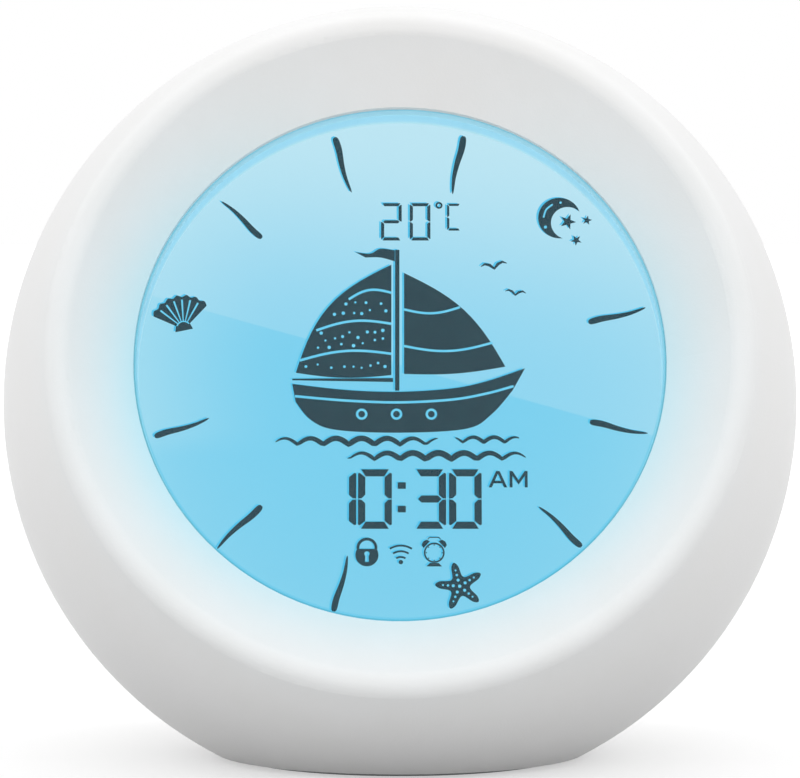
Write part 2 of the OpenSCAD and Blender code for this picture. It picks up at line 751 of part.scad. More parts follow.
module cell_leads() color("firebrick") for (side = [-1, 1]) {
    start = [5 * side, 0, cup_roof + cup_wall];
    end_x = cell_plug[0] + 1.6 * side;
    before = from_face([end_x, cell_plug[1], board_back - plug_h - 5]);
    end = from_face([end_x, cell_plug[1], board_back - plug_h]);
    lead([start, start + [0, 0, 5], (start + before) / 2 + [0, 4, 1], before, end], lead_r, [1, 0, 0]);
}

// ---- Base ----

module door_shape(grow, low, high) {
    disc(door_r + grow, low, high);
    translate([0, tab_y, 0]) disc(tab_r + grow, low, high);
    translate([-tab_r - grow, 0, low]) cube([2 * (tab_r + grow), tab_y, high - low]);
}

module base_cover() color("whitesmoke") difference() {
    union() {
        disc(cover_r, base_z, cover_top);
        disc(cup_r + cup_wall, base_z, cup_roof + cup_wall);
        translate([0, tab_y, 0]) disc(2.4, base_z, cover_top + 5);
    }
    ring(foot_out + slip_gap, foot_in - slip_gap, base_z - 1, foot_seat);
    door_shape(run_gap, base_z - 1, door_roof);
    disc(cup_r, base_z - 1, cup_roof);
    translate([0, tab_y, 0]) disc(small_screw_r + run_gap, base_z, cover_top + 4);
    at_angles(diagonals, base_circle) {
        disc(screw_r + slip_gap, base_z, cover_top + 1);
        disc(2.5, base_z, foot_seat + base_head_h);
    }
    for (side = [-1, 1]) translate([5 * side, 0, 0]) disc(0.7, cup_roof - 1, cup_roof + 3);
}

module base_screws() color("silver") at_angles(diagonals, base_circle)
    translate([0, 0, foot_seat + base_head_h]) mirror([0, 0, 1]) screw(screw_r, base_screw_l, 2.4, base_head_h - 0.1);

module foot_ring() color("darkgray") difference() {
    ring(foot_out, foot_in, 0, foot_seat);
    for (i = [1:3]) ring(foot_in + i * foot_w / 4 + 0.3, foot_in + i * foot_w / 4 - 0.3, -1, 0.4);
}

module backup_cell() color("silver") {
    disc(cell_r, cell_low + 0.6, cell_low + cell_t);
    disc(cell_r - 1.2, cell_low, cell_low + 0.6);
}

module cell_plate() color("gold") {
    disc(cell_r - 2, cup_roof - 0.3, cup_roof);
    translate([0, 0, cell_low + cell_t]) cylinder(r1 = 2, r2 = 4, h = cup_roof - 0.3 - cell_low - cell_t);
}

module cell_spring() color("gold") intersection() {
    ring(cup_r, cell_r, cell_low + 0.6, cup_roof - 0.3);
    translate([cell_r - 1, -3, cell_low]) cube([4, 6, 8]);
}

module cell_door() color("whitesmoke") difference() {
    union() {
        door_shape(0, base_z + 0.1, door_roof - run_gap);
        disc(cell_r - 1, base_z + 0.1, cell_low - run_gap);
    }
    translate([0, tab_y, 0]) {
        disc(small_screw_r + 0.1, base_z - 1, door_roof);
        disc(1.8, base_z - 1, base_z + 0.9);
    }
    translate([-4, -6, base_z - 1]) cube([8, 1, 1.6]);
}

module door_screw() color("silver") translate([0, tab_y, base_z + 0.9]) mirror([0, 0, 1])
    screw(small_screw_r, 5, 1.6, 0.7);

front_shell();
rear_shell();
shell_screws();
display_lens();
lens_tape();
display_frame();
lcd_panel();
diffuser_sheet();
light_guide();
reflector_sheet();
backlight_leds();
zebra_strip();
main_board();
board_screws();
controller();
radio_module();
board_plugs();
display_screws();
light_board();
light_leds();
rear_panel();
panel_screws();
speaker_grille();
speaker_basket();
speaker_cone();
speaker_magnet();
speaker_clamp();
clamp_screws();
key_board();
key_board_screws();
switch_bodies();
usb_socket();
temperature_sensor();
ribbon_cable();
speaker_leads();
light_leads();
cell_leads();
base_cover();
base_screws();
foot_ring();
backup_cell();
cell_plate();
cell_spring();
cell_door();
door_screw();
key(0);  // key_1
key(1);  // key_2
key(2);  // key_3
key(3);  // key_4
key(4);  // key_5
key(5);  // key_6
plunger(0);  // plunger_1
plunger(1);  // plunger_2
plunger(2);  // plunger_3
plunger(3);  // plunger_4
plunger(4);  // plunger_5
plunger(5);  // plunger_6
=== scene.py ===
# %% [markdown]
# # A ball-shaped bedside clock with a night light
# The clock is a milky white ball on a flat base. Its front is a tilted, dished ring round a sunken
# round display that is lit from behind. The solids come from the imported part, already in place. This
# lesson gives them their finishes, prints the display, and adds the small fittings that a solid model
# leaves out.
#
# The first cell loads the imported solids. They are the fixed frame of the work: none of them is moved
# or reshaped here.

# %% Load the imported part
import math

import bmesh
import bpy
from mathutils import Matrix, Vector


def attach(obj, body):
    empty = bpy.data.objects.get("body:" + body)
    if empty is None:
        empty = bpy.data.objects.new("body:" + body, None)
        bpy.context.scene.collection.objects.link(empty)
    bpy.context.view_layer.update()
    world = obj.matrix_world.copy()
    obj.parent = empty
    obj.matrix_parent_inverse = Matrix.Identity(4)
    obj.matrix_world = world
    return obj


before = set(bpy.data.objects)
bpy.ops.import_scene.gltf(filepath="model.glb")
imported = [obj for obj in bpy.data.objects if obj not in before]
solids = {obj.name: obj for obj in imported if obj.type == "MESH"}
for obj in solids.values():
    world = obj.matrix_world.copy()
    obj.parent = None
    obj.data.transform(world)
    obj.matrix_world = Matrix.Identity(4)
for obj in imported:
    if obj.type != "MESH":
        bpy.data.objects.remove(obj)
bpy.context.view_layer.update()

MM = 0.001

# %% [markdown]
# The camera comes first, because every later choice is judged through it. It stands 0.8 m in front of
# the ball with a long lens, only 2.7 degrees above the display's middle, so the ball shows almost no
# perspective and the face leans away from it.

# %% Camera
CAMERA_PLACE = Vector((0, -0.79528, 0.10248))
CAMERA_TARGET = Vector((0, 0, 0.06505))


def new_object(name, data):
    """Puts an object in the scene."""
    made = bpy.data.objects.new(name, data)
    bpy.context.scene.collection.objects.link(made)
    return made


def facing(place, target):
    """The turn that points a camera or a lamp from its place to a target."""
    return (target - Vector(place)).to_track_quat("-Z", "Y").to_euler()


lens = bpy.data.cameras.new("camera")
lens.lens, lens.sensor_width = 202.3, 36
lens.clip_start, lens.clip_end = 0.05, 50
camera = new_object("camera", lens)
camera.location = CAMERA_PLACE
camera.rotation_euler = facing(CAMERA_PLACE, CAMERA_TARGET)
bpy.context.scene.camera = camera
bpy.context.scene.view_settings.view_transform = "Standard"
print("camera stands", round((CAMERA_PLACE - CAMERA_TARGET).length, 3), "m from its target")

# %% [markdown]
# Three frames of reference carry everything on this object. The face frame has its origin at the ball's
# centre and its z axis out of the display. The rear frame looks straight backwards. The table frame
# stands upright where the clock stands. Pieces are drawn flat in millimetres in one of them, and a
# matrix puts them in place.

# %% The three frames of reference
CENTRE_Z = 62.6
FACE_TILT = 18
SCREEN_FRONT = 20.3
TABLE = Matrix.Scale(MM, 4)


def frame_at(turn):
    """A matrix from millimetres in a turned frame round the ball's centre to metres."""
    return Matrix.Translation((0, 0, CENTRE_Z * MM)) @ turn @ TABLE


FACE = frame_at(Matrix.Rotation(math.radians(90 - FACE_TILT), 4, "X"))
REAR = frame_at(Matrix.Rotation(math.pi, 4, "Z") @ Matrix.Rotation(math.pi / 2, 4, "X"))
print("display's middle in mm:", [round(v / MM, 1) for v in FACE @ Vector((0, 0, SCREEN_FRONT))])

# %% [markdown]
# A finish is a small network of shader nodes. Written node by node it is long and hard to read, so one
# small class wraps a socket: Python's operators on it add Math nodes. Everything else goes through one
# method that takes a node's type, its inputs and its settings. Colours are mixed with Mix nodes, since
# a Math node would turn them grey. A colour of three numbers counts from 0 to 255. One of four numbers
# is in the shader's own linear values.

# %% A class for shader maths
BLACK, WHITE = (0, 0, 0, 1), (1, 1, 1, 1)


def linear(red, green, blue):
    """A colour written as 0 to 255, as the shader's linear values."""
    def channel(v):
        v /= 255
        return v / 12.92 if v <= 0.04045 else ((v + 0.055) / 1.055) ** 2.4
    return (channel(red), channel(green), channel(blue), 1)


class Wire:
    """An output socket. Python's operators on it add Math nodes."""

    def __init__(self, network, socket):
        self.network, self.socket = network, socket

    def maths(self, operation, *values):
        """A Math node whose first value is this wire."""
        return self.network.maths(operation, self, *values)

    def __gt__(self, other):
        return self.maths("GREATER_THAN", other)

    def __abs__(self):
        return self.maths("ABSOLUTE")


def add_operator(sign, operation):
    """Lets one of Python's signs work on wires, with a wire on its left or on its right."""
    setattr(Wire, "__%s__" % sign, lambda wire, other: wire.network.maths(operation, wire, other))
    setattr(Wire, "__r%s__" % sign, lambda wire, other: wire.network.maths(operation, other, wire))


for sign, operation in (("add", "ADD"), ("sub", "SUBTRACT"), ("mul", "MULTIPLY"), ("truediv", "DIVIDE"),
                        ("pow", "POWER")):
    add_operator(sign, operation)


class Network:
    """Any node tree, for a finish, the surroundings or a shape."""

    def __init__(self, tree):
        self.tree = tree

    def feed(self, socket, value):
        """Links a wire to a socket, or sets a plain value on it."""
        if isinstance(value, Wire):
            self.tree.links.new(value.socket, socket)
        elif socket.type == "RGBA" and len(value) == 3:
            socket.default_value = linear(*value)
        else:
            socket.default_value = value

    def node(self, kind, inputs=None, output=0, **settings):
        """Adds any node. Its settings are set before its inputs."""
        made = self.tree.nodes.new(kind)
        for name, value in settings.items():
            setattr(made, name, value)
        for place, value in (inputs or {}).items():
            self.feed(made.inputs[place], value)
        return Wire(self, made.outputs[output])

    def maths(self, operation, *values):
        return self.node("ShaderNodeMath", dict(enumerate(values)), operation=operation)

    def between(self, value, low, high, start=0, end=1):
        """Start below low and end above high, with a smooth passage."""
        return self.node("ShaderNodeMapRange", {0: value, 1: low, 2: high, 3: start, 4: end},
                         interpolation_type="SMOOTHSTEP")

    def mix(self, factor, first, second):
        """A colour between two."""
        return self.node("ShaderNodeMix", {0: factor, 6: first, 7: second}, 2, data_type="RGBA")

    def choose(self, factor, first, second):
        """A number between two."""
        return self.node("ShaderNodeMix", {0: factor, 2: first, 3: second})

    def vector(self, x=0, y=0, z=0):
        return self.node("ShaderNodeCombineXYZ", {0: x, 1: y, 2: z})

    def parts(self, vector):
        """The x, y and z of a vector."""
        first = self.node("ShaderNodeSeparateXYZ", {0: vector})
        return [Wire(self, out) for out in first.socket.node.outputs]

    def length(self, vector):
        return self.node("ShaderNodeVectorMath", {0: vector}, "Value", operation="LENGTH")

    def distance(self, x, y):
        """How far a point at x, y is from the axis of its frame."""
        return self.length(self.vector(x, y))


print("a mid grey of 128 is", round(linear(128, 128, 128)[0], 3), "in the shader")

# %% [markdown]
# A finish builds on that class. It knows where a point lies in each frame, makes noise, and turns a
# height into a relief. Solids have material slots of their own, and dress fills them.

# %% A class for finishes
class Finish(Network):
    """A material with one Principled surface."""

    def __init__(self, name, **surface):
        self.material = bpy.data.materials.new(name)
        self.material.use_nodes = True
        super().__init__(self.material.node_tree)
        self.set(**surface)

    def set(self, **surface):
        """Feeds sockets of the surface. An underscore stands for a space in a socket's name."""
        sockets = self.tree.nodes["Principled BSDF"].inputs
        for name, value in surface.items():
            self.feed(sockets[name.replace("_", " ")], value)

    def split(self, wire, low, high, first, second):
        """One colour where a wire is below low, and another where it is above high."""
        self.set(Base_Color=self.mix(self.between(wire, low, high), first, second))

    def place(self, matrix=None):
        """Object coordinates in metres, or counted in millimetres in one of the frames."""
        here = self.node("ShaderNodeTexCoord", output="Object")
        if matrix is None:
            return here
        where, turn, size = matrix.decompose()
        return self.node("ShaderNodeMapping", {
            "Vector": here, "Location": where, "Rotation": turn.to_euler(), "Scale": size},
            vector_type="TEXTURE")

    def axes(self, matrix):
        """The x, y and height of a point in a frame, in mm."""
        return self.parts(self.place(matrix))

    def noise(self, vector, scale, detail=2):
        """Soft noise from 0 to 1. Scale is in lumps per unit of the vector."""
        return self.node("ShaderNodeTexNoise", {"Vector": vector, "Scale": scale, "Detail": detail})

    def clouds(self, vector, scale, detail=2):
        """Noise spread so that it reaches both 0 and 1."""
        return self.between(self.noise(vector, scale, detail), 0.3, 0.7)

    def bump(self, height, depth, strength=1):
        """Height from 0 to 1 becomes a relief of that depth in thousandths of a mm."""
        self.set(Normal=self.node("ShaderNodeBump", {
            "Height": height, "Distance": depth * 1e-6, "Strength": strength}))


def dress(finish, *names):
    """Gives solids a finish through their own material slots."""
    for name in names:
        for slot in solids[name].material_slots:
            slot.material = finish.material


print("solids to dress:", len(solids))

# %% [markdown]
# The studio is plain: a pale floor, a large soft lamp overhead, a weaker one in front, two lamps that
# brighten the upper edges of the ball, and even light all round. The camera sees the floor and the
# surroundings as white. The extra whiteness is given to camera and mirror rays only, so it doesn't light
# the object, and the floor keeps the object's soft shadow.

# %% Floor, lamps and surroundings
FLOOR_REACH = 6
AMBIENT = 0.9
LIT_POINT = Vector((0, 0, 0.06))


def seen_directly(network):
    """1 for rays from the camera, from gloss or through glass."""
    path = network.node("ShaderNodeLightPath").socket.node.outputs
    camera_ray, glossy, through = (Wire(network, path[name]) for name in (
        "Is Camera Ray", "Is Glossy Ray", "Is Transmission Ray"))
    return camera_ray.maths("MAXIMUM", glossy).maths("MAXIMUM", through)


floor_mesh = bpy.data.meshes.new("floor")
corners = [(x * FLOOR_REACH, y * FLOOR_REACH, 0) for x, y in ((-1, -1), (1, -1), (1, 1), (-1, 1))]
floor_mesh.from_pydata(corners, [], [(0, 1, 2, 3)])
floor = new_object("floor", floor_mesh)
pale = Finish("floor_pale", Base_Color=(0.545, 0.545, 0.545, 1), Roughness=0.9, Specular_IOR_Level=0.1)
whiter = pale.between(pale.length(pale.place()), 0.1, 1.5, 0.5, 0.8)
pale.set(Emission_Color=pale.mix(seen_directly(pale) * whiter, BLACK, WHITE), Emission_Strength=1)
floor.data.materials.append(pale.material)

world = bpy.data.worlds.new("surroundings")
bpy.context.scene.world = world
world.use_nodes = True
sky = Network(world.node_tree)
sky_light = sky.mix(seen_directly(sky), (AMBIENT, AMBIENT, AMBIENT, 1), WHITE)
sky.feed(world.node_tree.nodes["Background"].inputs["Color"], sky_light)

for name, place, size, power in (("overhead_lamp", (0, 0.1, 1.5), 1.6, 2.7),
                                 ("front_fill", (0, -2.2, 0.5), 1.0, 7.5),
                                 ("left_edge_lamp", (-1.5, 0.3, 1.5), 0.8, 3),
                                 ("right_edge_lamp", (1.5, 0.3, 1.4), 0.8, 3.6)):
    light = bpy.data.lights.new(name, "AREA")
    light.shape, light.size, light.energy = "SQUARE", size, power
    lamp = new_object(name, light)
    lamp.location = place
    lamp.rotation_euler = facing(place, LIT_POINT)
    lamp.visible_camera = False

# %% [markdown]
# The ball is moulded from milky plastic with a satin surface and a little sheen at its edges. Near the
# display the display's cyan light is painted on: a painted cyan tint in its colour, most on the left and
# least at the top, that is gone after about 12 mm, and a fainter painted cyan glow that reaches a little
# further. The upper part of the dish, which looks away from the lamps, has a faint painted warm glow.
# Very fine grain from the mould shows only in the way the light breaks up on it.

# %% Milky plastic
OPENING_R = 45.68
DISH_WIDTH = 20
PAINTED_TINT_REACH, PAINTED_GLOW_REACH = 9, 14


def milky_plastic(name, with_painted_light=False):
    """White satin plastic, with the display's light and a warm glow painted on its dish where asked for."""
    finish = Finish(name, IOR=1.46, Sheen_Weight=0.1, Sheen_Roughness=0.4)
    here = finish.place()
    tone = finish.clouds(here, 90, 3)
    white = finish.mix(tone, (0.8471, 0.8471, 0.8428, 1), (0.86, 0.86, 0.86, 1))
    finish.set(Base_Color=white, Roughness=0.42 + 0.08 * tone)
    finish.bump(finish.noise(here, 2600), 20)
    if with_painted_light:
        x, y, w = finish.axes(FACE)
        radius = finish.distance(x, y)
        across, up = x / radius, y / radius
        # Painted light: the display's cyan light is painted into the dish's colour as a tint and a glow, and
        # a warm glow is painted on its upper part.
        dish = finish.between(w, 5, 20) * finish.between(radius, OPENING_R, OPENING_R + DISH_WIDTH, 1, 0)
        strength = dish * (0.27 - 0.06 * across - 0.11 * up + 0.14 * (across * across - up * up))
        painted_tint, light = (strength * math.e ** ((OPENING_R - radius) / reach)
                       for reach in (PAINTED_TINT_REACH, PAINTED_GLOW_REACH))
        painted_spill_glow = finish.mix(light, BLACK, (96, 205, 240))
        painted_warm_glow = 0.13 * dish * finish.between(up, 0.1, 0.9)
        finish.set(Base_Color=finish.mix(0.75 * painted_tint, white, (0, 0.602, 0.7568, 1)),
                   Emission_Color=finish.mix(painted_warm_glow, painted_spill_glow, (1, 0.7, 0.55, 1)),
                   Emission_Strength=0.36)
    return finish


dress(milky_plastic("milky_shell", with_painted_light=True), "front_shell")
dress(milky_plastic("milky_rear_shell"), "rear_shell")
dress(milky_plastic("milky_base"), "base_cover", "cell_door")
print("glow starts at radius", OPENING_R, "mm")

# %% [markdown]
# The liquid crystal panel is lit from behind by lamps at its top edge, so it is palest at the top. A soft
# painted reflection, a paler tint in the panel's light, lies over its upper half and ends in a slanted
# line. The panel is drawn as light of its own, because that is what it is: the surface underneath is
# nearly black. A band of wall between panel and window has the panel's light painted on it, as a cyan
# colour and a glow of its own. The window is clear, and only a band at its cut edge is coloured cyan,
# darker at the rim and wider towards the top.

# %% The lit panel, the wall round it and the window
def lit_panel():
    finish = Finish("lcd_glass", Base_Color=(0.004, 0.005, 0.006, 1), Roughness=0.6,
                    Specular_IOR_Level=0.1, Emission_Strength=1)
    x, y, w = finish.axes(FACE)
    # Painted reflection: the panel's light is paler above a slanted line.
    painted_reflection = finish.between((y + 0.29 * x - 1.2) * 0.96, -0.15, 0.15)
    climb = finish.between(y + 0.12 * x, -7, 46) ** 1.5
    rim = 0.24 * (finish.distance(x, y) / OPENING_R) ** 4
    haze = 0.27 * finish.between(x, -18, -48) * finish.between(y, -16, -9)
    colour = finish.mix(rim + haze, (117, 206, 237), (184, 228, 240))
    colour = finish.mix(0.17 * painted_reflection, colour, (210, 236, 246))
    colour = finish.mix(0.8 * climb, colour, (194, 231, 242))
    colour = finish.mix(finish.between(y, -46, -8, 0.5, 0), colour, (113, 203, 234))
    front = finish.between(w, SCREEN_FRONT - 0.2, SCREEN_FRONT - 0.1)
    finish.set(Emission_Color=finish.mix(front, BLACK, colour))
    return finish


def wall_with_painted_light():
    finish = Finish("frame_white", Roughness=0.6, Emission_Strength=0.75)
    x, y, w = finish.axes(FACE)
    # Painted light: next to the panel the wall's colour is a darker cyan and it glows, for the panel's light
    # on it.
    painted_glow_band = finish.between(finish.distance(x, y), 46.5, 47, 1, 0)
    painted_glow_band *= finish.between(w, SCREEN_FRONT - 1, SCREEN_FRONT - 0.2)
    light = finish.mix(finish.between(w, SCREEN_FRONT, SCREEN_FRONT + 2), (178, 215, 220), (143, 203, 222))
    light = finish.mix(finish.between(w, 24.6, 24.8), light, (152, 210, 228))
    finish.set(Base_Color=finish.mix(painted_glow_band, (226, 230, 231), (112, 150, 168)),
               Emission_Color=finish.mix(painted_glow_band, BLACK, light))
    finish.bump(finish.noise(finish.place(), 2400), 30)
    return finish


def clear_window():
    finish = Finish("window_clear", Roughness=0.02, IOR=1.22, Transmission_Weight=1)
    x, y, w = finish.axes(FACE)
    # The cut edge is coloured cyan, darker at its very rim, and the band is wider towards the top.
    radius = finish.distance(x, y) - 0.009 * y
    edge = finish.mix(finish.between(radius, 44.95, 45.35), WHITE, (0.5, 0.88, 0.95, 1))
    edge = finish.mix(finish.between(radius, 45.42, 45.56), edge, (0.22, 0.58, 0.65, 1))
    finish.set(Base_Color=finish.mix(finish.between(w, 26.3, 26.4), WHITE, edge))
    return finish


dress(lit_panel(), "lcd_panel")
dress(wall_with_painted_light(), "display_frame")
dress(clear_window(), "display_lens")
print("the panel's front is", SCREEN_FRONT, "mm from the ball's centre")

# %% [markdown]
# The other plastics differ mostly in their surface. The rear panel has the dull, even grain that spark
# erosion leaves in a mould, the keys are smoother and worn a little shiny in the middle, and the foot is
# silicone rubber. Each finish has two close shades that drift into each other over a few millimetres.
# The loudspeaker's pressed steel is painted black, so it is finished as a plastic too.
#
# Keys and screws come in rings of equal ones. To draw something round the middle of each, the finish
# folds the four quarters of the plane onto one and measures the distance to the nearest of the centres
# that are left.

# %% Plastics and rubber
KEY_CIRCLE = 31.96


def moulded(name, shades, roughness, grain, lumps=2600, **surface):
    """A plastic in two close shades, or with none yet. The grain's depth is in thousandths of a mm."""
    finish = Finish(name, IOR=1.46, **surface)
    here = finish.place()
    drift = finish.clouds(here, 70, 3)
    finish.set(Roughness=roughness - 0.04 + 0.08 * drift)
    finish.bump(finish.noise(here, lumps), grain)
    if shades:
        finish.set(Base_Color=finish.mix(drift, *shades))
    return finish


def nearest(finish, matrix, *centres):
    """The distance in mm to the nearest centre, with all four quarters folded onto one, and the height."""
    x, y, w = finish.axes(matrix)
    x, y = abs(x), abs(y)
    near, *others = [finish.distance(x - cx, y - cy) for cx, cy in centres]
    for far in others:
        near = near.maths("MINIMUM", far)
    return near, w


def polar(radius, degrees):
    """The x and y of a point on a circle."""
    return radius * math.cos(math.radians(degrees)), radius * math.sin(math.radians(degrees))


for name, dark, light, roughness, grain, lumps, *nodes in (
        ("rear_white", (228, 230, 230), (231, 233, 232), 0.64, 60, 1700, "rear_panel"),
        ("tape_grey", (92, 99, 92), (102, 109, 102), 0.8, 20, 3000, "lens_tape"),
        ("grille_white", (225, 227, 227), (229, 231, 230), 0.6, 50, 1900, "speaker_grille"),
        ("plug_ivory", (222, 214, 190), (232, 225, 204), 0.48, 10, 2600, "board_plugs"),
        ("plunger_ivory", (226, 220, 202), (234, 229, 214), 0.4, 10, 3600,
         *["plunger_%d" % i for i in range(1, 7)]),
        ("basket_paint", (42, 43, 46), (54, 55, 58), 0.4, 20, 1500, "speaker_basket", "speaker_clamp"),
        ("magnet_grey", (50, 51, 54), (72, 73, 76), 0.7, 100, 1200, "speaker_magnet"),
        ("sensor_black", (28, 29, 31), (42, 43, 46), 0.3, 10, 1500, "temperature_sensor"),
        ("sheet_white", (236, 238, 238), (242, 243, 243), 0.75, 10, 4000, "diffuser_sheet"),
        ("mirror_sheet", (228, 231, 233), (238, 240, 241), 0.25, 10, 900, "reflector_sheet")):
    dress(moulded(name, (dark, light), roughness, grain, lumps), *nodes)

keys = moulded("key_plastic", ((205, 214, 219), (214, 222, 226)), 0.5, 20, 3200)
from_key, _ = nearest(keys, REAR, polar(KEY_CIRCLE, 30), polar(KEY_CIRCLE, 0))
keys.set(Roughness=keys.between(from_key, 1.5, 4.2, 0.34, 0.52))
dress(keys, *["key_%d" % i for i in range(1, 7)])

foot = moulded("soft_grey", ((163, 166, 168), (176, 179, 181)), 0.78, 30, 1400)
x, y, w = foot.axes(TABLE)
foot.bump(foot.distance(x, y).maths("PINGPONG", 0.2) * 5, 80, 0.6)
dress(foot, "foot_ring")

rubber = moulded("zebra_rubber", None, 0.6, 10)
x, y, w = rubber.axes(FACE)
rubber.split(x.maths("PINGPONG", 0.2), 0.08, 0.12, (34, 34, 36), (196, 180, 172))
dress(rubber, "zebra_strip")
print("key centre in rear frame:", [round(v, 2) for v in polar(KEY_CIRCLE, 30)])

# %% [markdown]
# Metals take their look from what they mirror, so their colour is plain and the fine work is in the
# roughness and the relief: rings from the lathe on a screw head, rolled streaks on sheet steel.

# %% Metals
def turned_steel(name, matrix, *centres):
    """Screws with the fine rings of a lathe round each head."""
    finish = Finish(name, Metallic=1)
    far, height = nearest(finish, matrix, *centres)
    rings = finish.clouds(finish.vector(far, 0, height * 0.2), 7)
    finish.set(Base_Color=finish.mix(rings, (168, 166, 161), (204, 202, 197)),
               Roughness=0.26 + 0.16 * rings)
    finish.bump(rings, 10)
    return finish


def rolled_metal(name, shades, roughness, stretch=(6, 90, 90)):
    """Sheet metal with long faint streaks, in two close shades or with none yet."""
    finish = Finish(name, Metallic=1)
    streaks = finish.node("ShaderNodeMapping", {"Vector": finish.place(), "Scale": stretch})
    marks = finish.clouds(streaks, 12, 3)
    finish.set(Roughness=roughness - 0.04 + 0.08 * marks)
    finish.bump(marks, 1.2)
    if shades:
        finish.set(Base_Color=finish.mix(marks, *shades))
    return finish


SCREWS = (("shell_screws", REAR, polar(56.98, 45)),
          ("panel_screws", REAR, polar(41.61, 45)),
          ("board_screws", FACE, polar(50.58, 15)),
          ("display_screws", FACE, polar(55.48, 0), polar(55.48, 90)),
          ("clamp_screws", REAR, polar(19.3, 90), polar(19.3, 30)),
          ("key_board_screws", REAR, polar(34.46, 60)),
          ("base_screws", TABLE, polar(26.2, 45)),
          ("door_screw", TABLE, polar(15.3, 90)))
for node, matrix, *centres in SCREWS:
    dress(turned_steel("steel_of_" + node, matrix, *centres), node)
dress(rolled_metal("cell_steel", ((186, 186, 184), (206, 206, 203)), 0.33, (90, 6, 90)), "backup_cell")
dress(rolled_metal("contact_gold", ((213, 185, 118), (221, 195, 129)), 0.3), "cell_plate", "cell_spring")
print("kinds of screws:", len(SCREWS))

# %% [markdown]
# A circuit board is glass cloth under a coat of lacquer. The copper runs show through the lacquer as
# slightly raised, paler lines, the plated rings are bright round a painted shade for each hole, and the cut
# edge is bare tan laminate. The lines run one way in some patches and the other way in the next, as a
# router lays them.

# %% Circuit boards
def straight_runs(finish, flat, x, y):
    """Copper runs that change their direction from patch to patch, with some patches bare."""
    pick, other, third = finish.parts(finish.node(
        "ShaderNodeTexVoronoi", {"Vector": flat, "Scale": 0.11}, "Color", distance="CHEBYCHEV"))
    turned = finish.choose(pick > 0.5, x, y)
    slanted = finish.choose(other > 0.75, turned, (x + y) * 0.71)
    return finish.between(slanted.maths("PINGPONG", 0.45), 0.28, 0.32) * (third > 0.25)


def circuit_board(name, matrix, low, high, lacquer, run_colour, ringed=False):
    """A board between two heights in mm. A ringed one has its runs in circles."""
    finish = Finish(name, Coat_Weight=0.3)
    flat = finish.place(matrix)
    x, y, w = finish.parts(flat)
    if ringed:
        runs = finish.between(finish.distance(x, y).maths("PINGPONG", 0.9), 0.5, 0.56)
    else:
        runs = straight_runs(finish, flat, x, y)
    spots = finish.node("ShaderNodeTexVoronoi", {"Vector": flat, "Scale": 0.3, "Randomness": 0.9})
    ring = finish.between(spots, 0.085, 0.095, 1, 0)
    # Painted shade: each plated ring has a dark spot in its middle for its hole.
    hole_shade = finish.between(spots, 0.03, 0.04, 1, 0)
    colour = finish.mix(0.8 * runs, lacquer, run_colour)
    colour = finish.mix(ring, colour, (205, 200, 186))
    colour = finish.mix(hole_shade, colour, (30, 32, 30))
    cut = finish.between(w, low + 0.03, low + 0.06) * finish.between(w, high - 0.06, high - 0.03, 1, 0)
    laminate = finish.mix(finish.clouds(flat, 3.5), (176, 160, 112), (192, 178, 132))
    finish.set(Base_Color=finish.mix(cut, colour, laminate),
               Metallic=ring * (1 - hole_shade) * (1 - cut),
               Roughness=0.36 + 0.3 * cut)
    finish.bump(runs.maths("MAXIMUM", ring) * (1 - hole_shade), 40)
    return finish


BOARD_BACK = 11.3
GREEN, PALE_GREEN = (22, 78, 48), (52, 116, 74)
dress(circuit_board("board_green", FACE, BOARD_BACK, 12.9, GREEN, PALE_GREEN), "main_board")
dress(circuit_board("key_board_green", REAR, 43.0, 44.6, GREEN, PALE_GREEN), "key_board")
dress(circuit_board("board_white", FACE, 18.5, 20.1, (226, 228, 226), (206, 208, 204), True), "light_board")
print("the main board's back is", BOARD_BACK, "mm from the ball's centre")

# %% [markdown]
# The small parts on the boards: black cast housings with a dimple at the first leg, switches with a
# steel lid, a radio module with its aerial beside a tinned can, and the socket with its tongue of
# contacts.

# %% Housings, cans and the socket
CONTACT = (206, 178, 108)

chip = moulded("chip_black", None, 0.58, 20, 3000)
x, y, w = chip.axes(FACE)
large, small = (chip.distance(x - cx, y - cy) - r for cx, cy, r in ((-16.9, 12.9, 0.5), (-19.7, -10.4, 0.35)))
chip.split(large.maths("MINIMUM", small), -0.06, 0, (70, 71, 73), (38, 39, 41))
dress(chip, "controller")

switch = moulded("switch_black", None, 0.5, 20, 3000)
x, y, w = switch.axes(REAR)
lid = switch.between(w, 45.6, 45.65)
switch.set(Base_Color=switch.mix(lid, (34, 35, 37), (176, 178, 180)), Metallic=lid)
dress(switch, "switch_bodies")

can = rolled_metal("tin_steel", None, 0.32)
x, y, w = can.axes(FACE)
card = can.between(w, 10.45, 10.5)
aerial = can.between(y.maths("PINGPONG", 0.8), 0.5, 0.55)
aerial *= can.between(y, 25.6, 25.7) * can.between(y, 31.6, 31.7, 1, 0)
can.set(Base_Color=can.mix(card, (198, 200, 200), can.mix(aerial, (24, 52, 84), CONTACT)),
        Metallic=1 - card * (1 - aerial))
dress(can, "radio_module")

socket = rolled_metal("socket_steel", None, 0.3)
x, y, w = socket.axes(REAR)
off = (abs(x) / 3.4).maths("MAXIMUM", abs(y + KEY_CIRCLE) / 0.42)
tongue = socket.between(off, 0.99, 1.01, 1, 0)
contacts = socket.between(x.maths("PINGPONG", 0.25), 0.13, 0.15) * socket.between(w, 48.6, 48.7)
socket.set(Base_Color=socket.mix(tongue, (190, 192, 193), socket.mix(contacts, (26, 27, 29), CONTACT)),
           Metallic=1 - tongue * (1 - contacts))
dress(socket, "usb_socket")
print("finishes so far:", len(bpy.data.materials))

